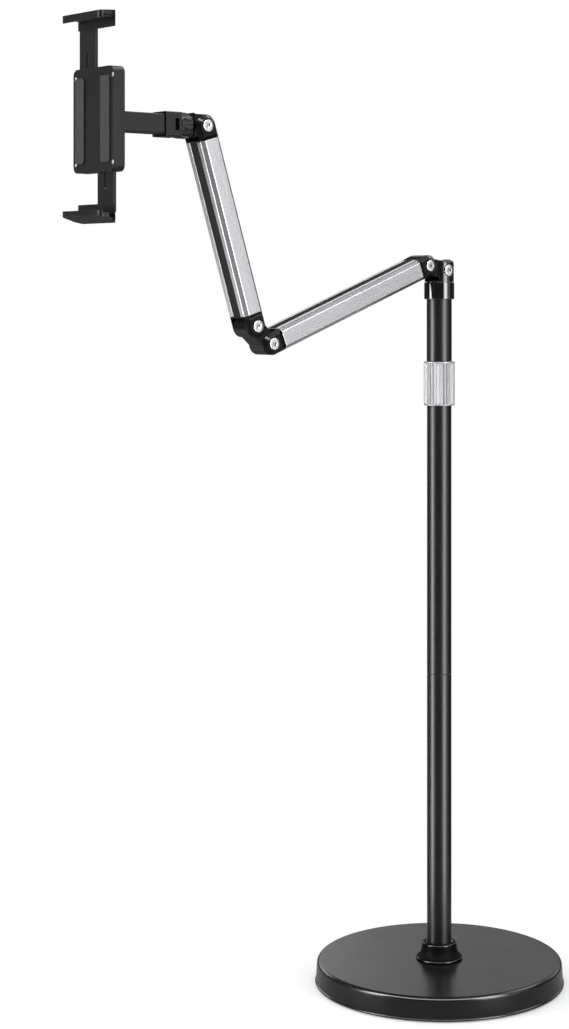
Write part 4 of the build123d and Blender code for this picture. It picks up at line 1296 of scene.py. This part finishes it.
def jaw_body(name, side, rear, front, bottom, top):
    """A jaw's side view given its width, with its corners rounded as seen from above."""
    half, near, far = 31.2, 4.0, 8.0
    jaw = swept(name, across(side, -half), (2 * half, 0, 0))
    plan = arc((half - near, front - near), near, 0, 90, 10)
    plan += arc((-half + near, front - near), near, 90, 180, 10)
    plan += arc((-half + far, rear + far), far, 180, 270, 14)
    plan += arc((half - far, rear + far), far, 270, 360, 14)
    return common(jaw, swept("plan", above(plan, bottom), (0, 0, top - bottom)))


def jaw_bar(name, side, rear, bar_front, reach):
    """The slotted flat bar on which a jaw slides."""
    inner, outer = sorted((side * 1.9, side * 26.9))
    bar = block(name, inner, outer, rear, bar_front, -18.0, reach)
    boss, out, back, half = 34.0, 40.0, 25.0, 2.1
    low_end, high_end = boss - out - half, boss + back + half
    slot = rounded(half, (high_end - low_end) / 2, half - NEAR, 10, (side * 14.4, (low_end + high_end) / 2))
    return cut(bar, swept("slot", ahead(slot, rear - 1), (0, -5.0, 0)))


class STAND_OT_jaws(bpy.types.Operator):
    """Lipped upper and lower jaw on their slotted bars, with their rubber pads"""

    bl_idname = "stand.jaws"
    bl_label = "Jaws"

    def execute(self, context):
        rear = -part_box("upper_jaw")[1].y / MM
        front = -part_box("upper_jaw")[0].y / MM
        bar_front, lip_rear, middle, pad_half = rear + 3.0, front - 3.0, HEAD[1], 27.2
        face = low("upper_jaw_pad") - middle
        inner = face + 1.2
        side = [(front, face - 2.0), (front, inner + 3.0), (rear, inner + 4.4), (rear, face - 8.0)]
        side += [(bar_front, face - 8.0), (bar_front, inner), (lip_rear, inner), (lip_rear, face - 2.0)]
        jaw = jaw_body("upper_jaw_body", side, rear, front, face - 10.0, inner + 10.0)
        fused(jaw, jaw_bar("bar", -1, rear, bar_front, inner - 0.5))
        finished(moved(ease(jaw, 0.45, 3), (0, 0, middle)), "upper_jaw", "holder_black")
        pad = block("upper_jaw_rubber", -pad_half, pad_half, bar_front + 0.3, lip_rear - 0.3, face, inner)
        finished(moved(ease(pad, 0.35, 3), (0, 0, middle)), "upper_jaw_pad", "black_rubber")

        face, floor, drop, fall = high("lower_jaw_pad") - middle, 2.2, 2.8, 6.1

        def tray(forward):
            """The underside of the sloping tray at a distance forward."""
            return face - drop - fall * (front - forward) / (front - rear)

        side = [(front, face + 2.0), (lip_rear, face + 2.0), (lip_rear, tray(lip_rear) + floor)]
        side += [(bar_front, tray(bar_front) + floor), (bar_front, face + 8.0), (rear, face + 8.0)]
        side += [(rear, tray(rear)), (front, tray(front))]
        jaw = jaw_body("lower_jaw_body", side, rear, front, face - 20.0, face + 10.0)
        bar = jaw_bar("bar", -1, rear, bar_front, -face - 0.5)
        moved(bar, turn=(0, 180, 0))
        fused(jaw, bar)
        finished(moved(ease(jaw, 0.45, 3), (0, 0, middle)), "lower_jaw", "holder_black")
        far, near = lip_rear - 0.3, lip_rear - 9.3
        side = [(far, face), (near, face), (near, tray(near) + floor), (far, tray(far) + floor)]
        pad = swept("lower_jaw_rubber", across(side, -pad_half), (2 * pad_half, 0, 0))
        finished(moved(ease(pad, 0.3, 3), (0, 0, middle)), "lower_jaw_pad", "black_rubber")
        return {"FINISHED"}


class STAND_OT_frame(bpy.types.Operator):
    """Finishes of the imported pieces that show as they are"""

    bl_idname = "stand.frame"
    bl_label = "Frame finishes"

    def execute(self, context):
        rows = frame["record"]["subparts"]
        slots = {row["node"]: row.get("material_slot") or row["material"] for row in rows}
        for node, piece in frame["nodes"].items():
            if not piece.hide_render:
                dressed(node, slots[node])
        return {"FINISHED"}


class STAND_OT_stage(bpy.types.Operator):
    """Pale floor, soft studio lamps and the camera"""

    bl_idname = "stand.stage"
    bl_label = "Stage"

    def execute(self, context):
        stage = context.scene.stand_stage
        towards = (sin(stage.turn), -cos(stage.turn))
        right = (cos(stage.turn), sin(stage.turn))
        let_go()
        place = [stage.distance * a - stage.sideways * b for a, b in zip(towards, right)]
        bpy.ops.object.camera_add(location=(*place, stage.height), rotation=(pi / 2, 0, stage.turn))
        camera = context.object
        camera.name = "stand_camera"
        camera.data.sensor_width = 36
        camera.data.lens = stage.lens
        camera.data.shift_x, camera.data.shift_y = stage.shift
        context.scene.camera = camera
        context.scene.view_settings.view_transform = "Standard"

        bpy.ops.mesh.primitive_circle_add(
            vertices=128, radius=FLOOR_RADIUS, fill_type="NGON", location=(0, 0, -FLOOR_DROP)
        )
        floor = settle(context.object)
        floor.name = "stage_floor"
        floor.data.materials.append(self.floor_finish(stage))

        for side, power in (("left", stage.left_lamp), ("right", stage.right_lamp)):
            angle, distance, height, width, tall = STRIPS[side]
            swing = radians(angle)
            x, y = (distance * (cos(swing) * a + sin(swing) * b) for a, b in zip(towards, right))
            turn = (pi / 2, 0, atan2(y, x) + pi / 2)
            strip = self.lamp(f"{side}_strip", (x, y, height), turn, width, power)
            strip.shape, strip.size_y = "RECTANGLE", tall
        self.lamp("top_box", TOP_BOX, (0, 0, 0), TOP_SIZE, stage.top_lamp)
        let_go()
        self.room(context, stage, towards, right)
        return {"FINISHED"}

    def lamp(self, name, place, turn, size, power):
        """A soft lamp that reflections don't see."""
        bpy.ops.object.light_add(type="AREA", location=place, rotation=turn)
        lamp = bpy.context.object
        lamp.name, lamp.visible_glossy = name, False
        lamp.data.size, lamp.data.energy = size, power
        return lamp.data

    def seen(self, tree):
        """1 for what the camera, a reflection or a glass sees directly."""
        path = tree.nodes.new("ShaderNodeLightPath")
        seen = math_node(tree, "MAXIMUM", path.outputs["Is Camera Ray"], path.outputs["Is Glossy Ray"])
        return path, math_node(tree, "MAXIMUM", seen, path.outputs["Is Transmission Ray"])

    def room(self, context, stage, towards, right):
        """Even room light, a white background, and the studio that reflections see."""
        world = bpy.data.worlds.new("stand_room")
        context.scene.world = world
        world.use_nodes = True
        tree = world.node_tree
        background = tree.nodes["Background"]
        background.inputs["Color"].default_value = (1, 1, 1, 1)
        path, seen = self.seen(tree)
        ray = tree.nodes.new("ShaderNodeTexCoord").outputs["Generated"]
        parts = []
        for axis in ((*right, 0), (*towards, 0), (0, 0, 1)):
            dot = tree.nodes.new("ShaderNodeVectorMath")
            dot.operation = "DOT_PRODUCT"
            dot.inputs[1].default_value = axis
            tree.links.new(ray, dot.inputs[0])
            parts.append(dot.outputs["Value"])
        swing = math_node(tree, "DEGREES", math_node(tree, "ARCTAN2", parts[0], parts[1]))
        rise = math_node(tree, "DEGREES", math_node(tree, "ARCSINE", parts[2]))
        studio, sockets = STUDIO_DARK, ("Middle", "Half_Width", "Bottom", "Top", "Softness", "Strength")
        for values in PANELS.values():
            links = {"Swing": swing, "Rise": rise}
            panel = put_group(tree, soft_panel(), links, **dict(zip(sockets, values)))
            studio = math_node(tree, "ADD", panel.outputs["Light"], studio)
        pale = tree.nodes.new("ShaderNodeMix")
        pale.inputs["B"].default_value = 1.0
        tree.links.new(studio, pale.inputs["A"])
        rays = path.outputs
        direct = math_node(tree, "MAXIMUM", rays["Is Camera Ray"], rays["Is Transmission Ray"])
        tree.links.new(direct, pale.inputs["Factor"])
        mix = tree.nodes.new("ShaderNodeMix")
        mix.inputs["A"].default_value = stage.room
        tree.links.new(pale.outputs["Result"], mix.inputs["B"])
        tree.links.new(seen, mix.inputs["Factor"])
        tree.links.new(mix.outputs["Result"], background.inputs["Strength"])

    def fade(self, tree, away, distances):
        """0 within one distance from the pole, 1 beyond another."""
        fade = tree.nodes.new("ShaderNodeMapRange")
        fade.interpolation_type = "SMOOTHSTEP"
        fade.inputs["From Min"].default_value, fade.inputs["From Max"].default_value = distances
        tree.links.new(away, fade.inputs["Value"])
        return fade.outputs["Result"]

    def floor_finish(self, stage):
        """Pale floor that keeps the shadow near the base and fades to the background further out."""
        material = bpy.data.materials.new("stage floor")
        material.use_nodes = True
        tree = material.node_tree
        tree.nodes.remove(tree.nodes["Principled BSDF"])
        plain = tree.nodes.new("ShaderNodeBsdfDiffuse")
        glow = tree.nodes.new("ShaderNodeEmission")
        lift = tree.nodes.new("ShaderNodeEmission")
        path, seen = self.seen(tree)
        mirrored = scaled(stage.floor, FLOOR_MIRRORED)
        dim = mix_colours(tree, path.outputs["Is Glossy Ray"], stage.floor, mirrored)
        tree.links.new(dim, plain.inputs["Color"])
        tree.links.new(seen, glow.inputs["Strength"])
        plain_seen = math_node(tree, "SUBTRACT", seen, path.outputs["Is Glossy Ray"])
        tree.links.new(math_node(tree, "MULTIPLY", plain_seen, FLOOR_LIFT), lift.inputs["Strength"])
        near = tree.nodes.new("ShaderNodeAddShader")
        tree.links.new(plain.outputs[0], near.inputs[0])
        tree.links.new(lift.outputs[0], near.inputs[1])
        away = tree.nodes.new("ShaderNodeVectorMath")
        away.operation = "LENGTH"
        tree.links.new(tree.nodes.new("ShaderNodeTexCoord").outputs["Object"], away.inputs[0])
        blend = tree.nodes.new("ShaderNodeMixShader")
        fade = self.fade(tree, away.outputs["Value"], SHADOW_FADE)
        tree.links.new(math_node(tree, "MULTIPLY", fade, plain_seen), blend.inputs[0])
        tree.links.new(near.outputs[0], blend.inputs[1])
        tree.links.new(glow.outputs[0], blend.inputs[2])
        clear = tree.nodes.new("ShaderNodeMixShader")
        fade = self.fade(tree, away.outputs["Value"], MIRROR_FADE)
        tree.links.new(math_node(tree, "MULTIPLY", fade, path.outputs["Is Glossy Ray"]), clear.inputs[0])
        tree.links.new(blend.outputs[0], clear.inputs[1])
        tree.links.new(tree.nodes.new("ShaderNodeBsdfTransparent").outputs[0], clear.inputs[2])
        tree.links.new(clear.outputs[0], tree.nodes["Material Output"].inputs["Surface"])
        return material


OPERATORS = (
    STAND_OT_base,
    STAND_OT_pole,
    STAND_OT_lock,
    STAND_OT_swivel,
    STAND_OT_bolts,
    STAND_OT_links,
    STAND_OT_arms,
    STAND_OT_head,
    STAND_OT_neck,
    STAND_OT_holder,
    STAND_OT_jaws,
    STAND_OT_frame,
    STAND_OT_stage,
)


class STAND_PT_panel(bpy.types.Panel):
    """Lists the stand's operators and settings"""

    bl_idname = "STAND_PT_panel"
    bl_label = "Tablet floor stand"
    bl_space_type = "VIEW_3D"
    bl_region_type = "UI"
    bl_category = "Stand"

    def draw(self, context):
        for operator in OPERATORS:
            self.layout.operator(operator.bl_idname)
        for settings in (context.scene.stand_sizes, context.scene.stand_looks, context.scene.stand_stage):
            box = self.layout.box()
            for name in settings.__annotations__:
                box.prop(settings, name)


CLASSES = (StandSizes, StandLooks, StandStage, *OPERATORS, STAND_PT_panel)


def register():
    """Add the settings, operators and panel."""
    for each in CLASSES:
        bpy.utils.register_class(each)
    bpy.types.Scene.stand_sizes = PointerProperty(type=StandSizes)
    bpy.types.Scene.stand_looks = PointerProperty(type=StandLooks)
    bpy.types.Scene.stand_stage = PointerProperty(type=StandStage)


def unregister():
    """Take them away again."""
    del bpy.types.Scene.stand_sizes, bpy.types.Scene.stand_looks, bpy.types.Scene.stand_stage
    for each in reversed(CLASSES):
        bpy.utils.unregister_class(each)


def main():
    """Register the add-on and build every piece."""
    register()
    for operator in OPERATORS:
        group, name = operator.bl_idname.split(".")
        getattr(getattr(bpy.ops, group), name)()


if __name__ == "__main__":
    main()
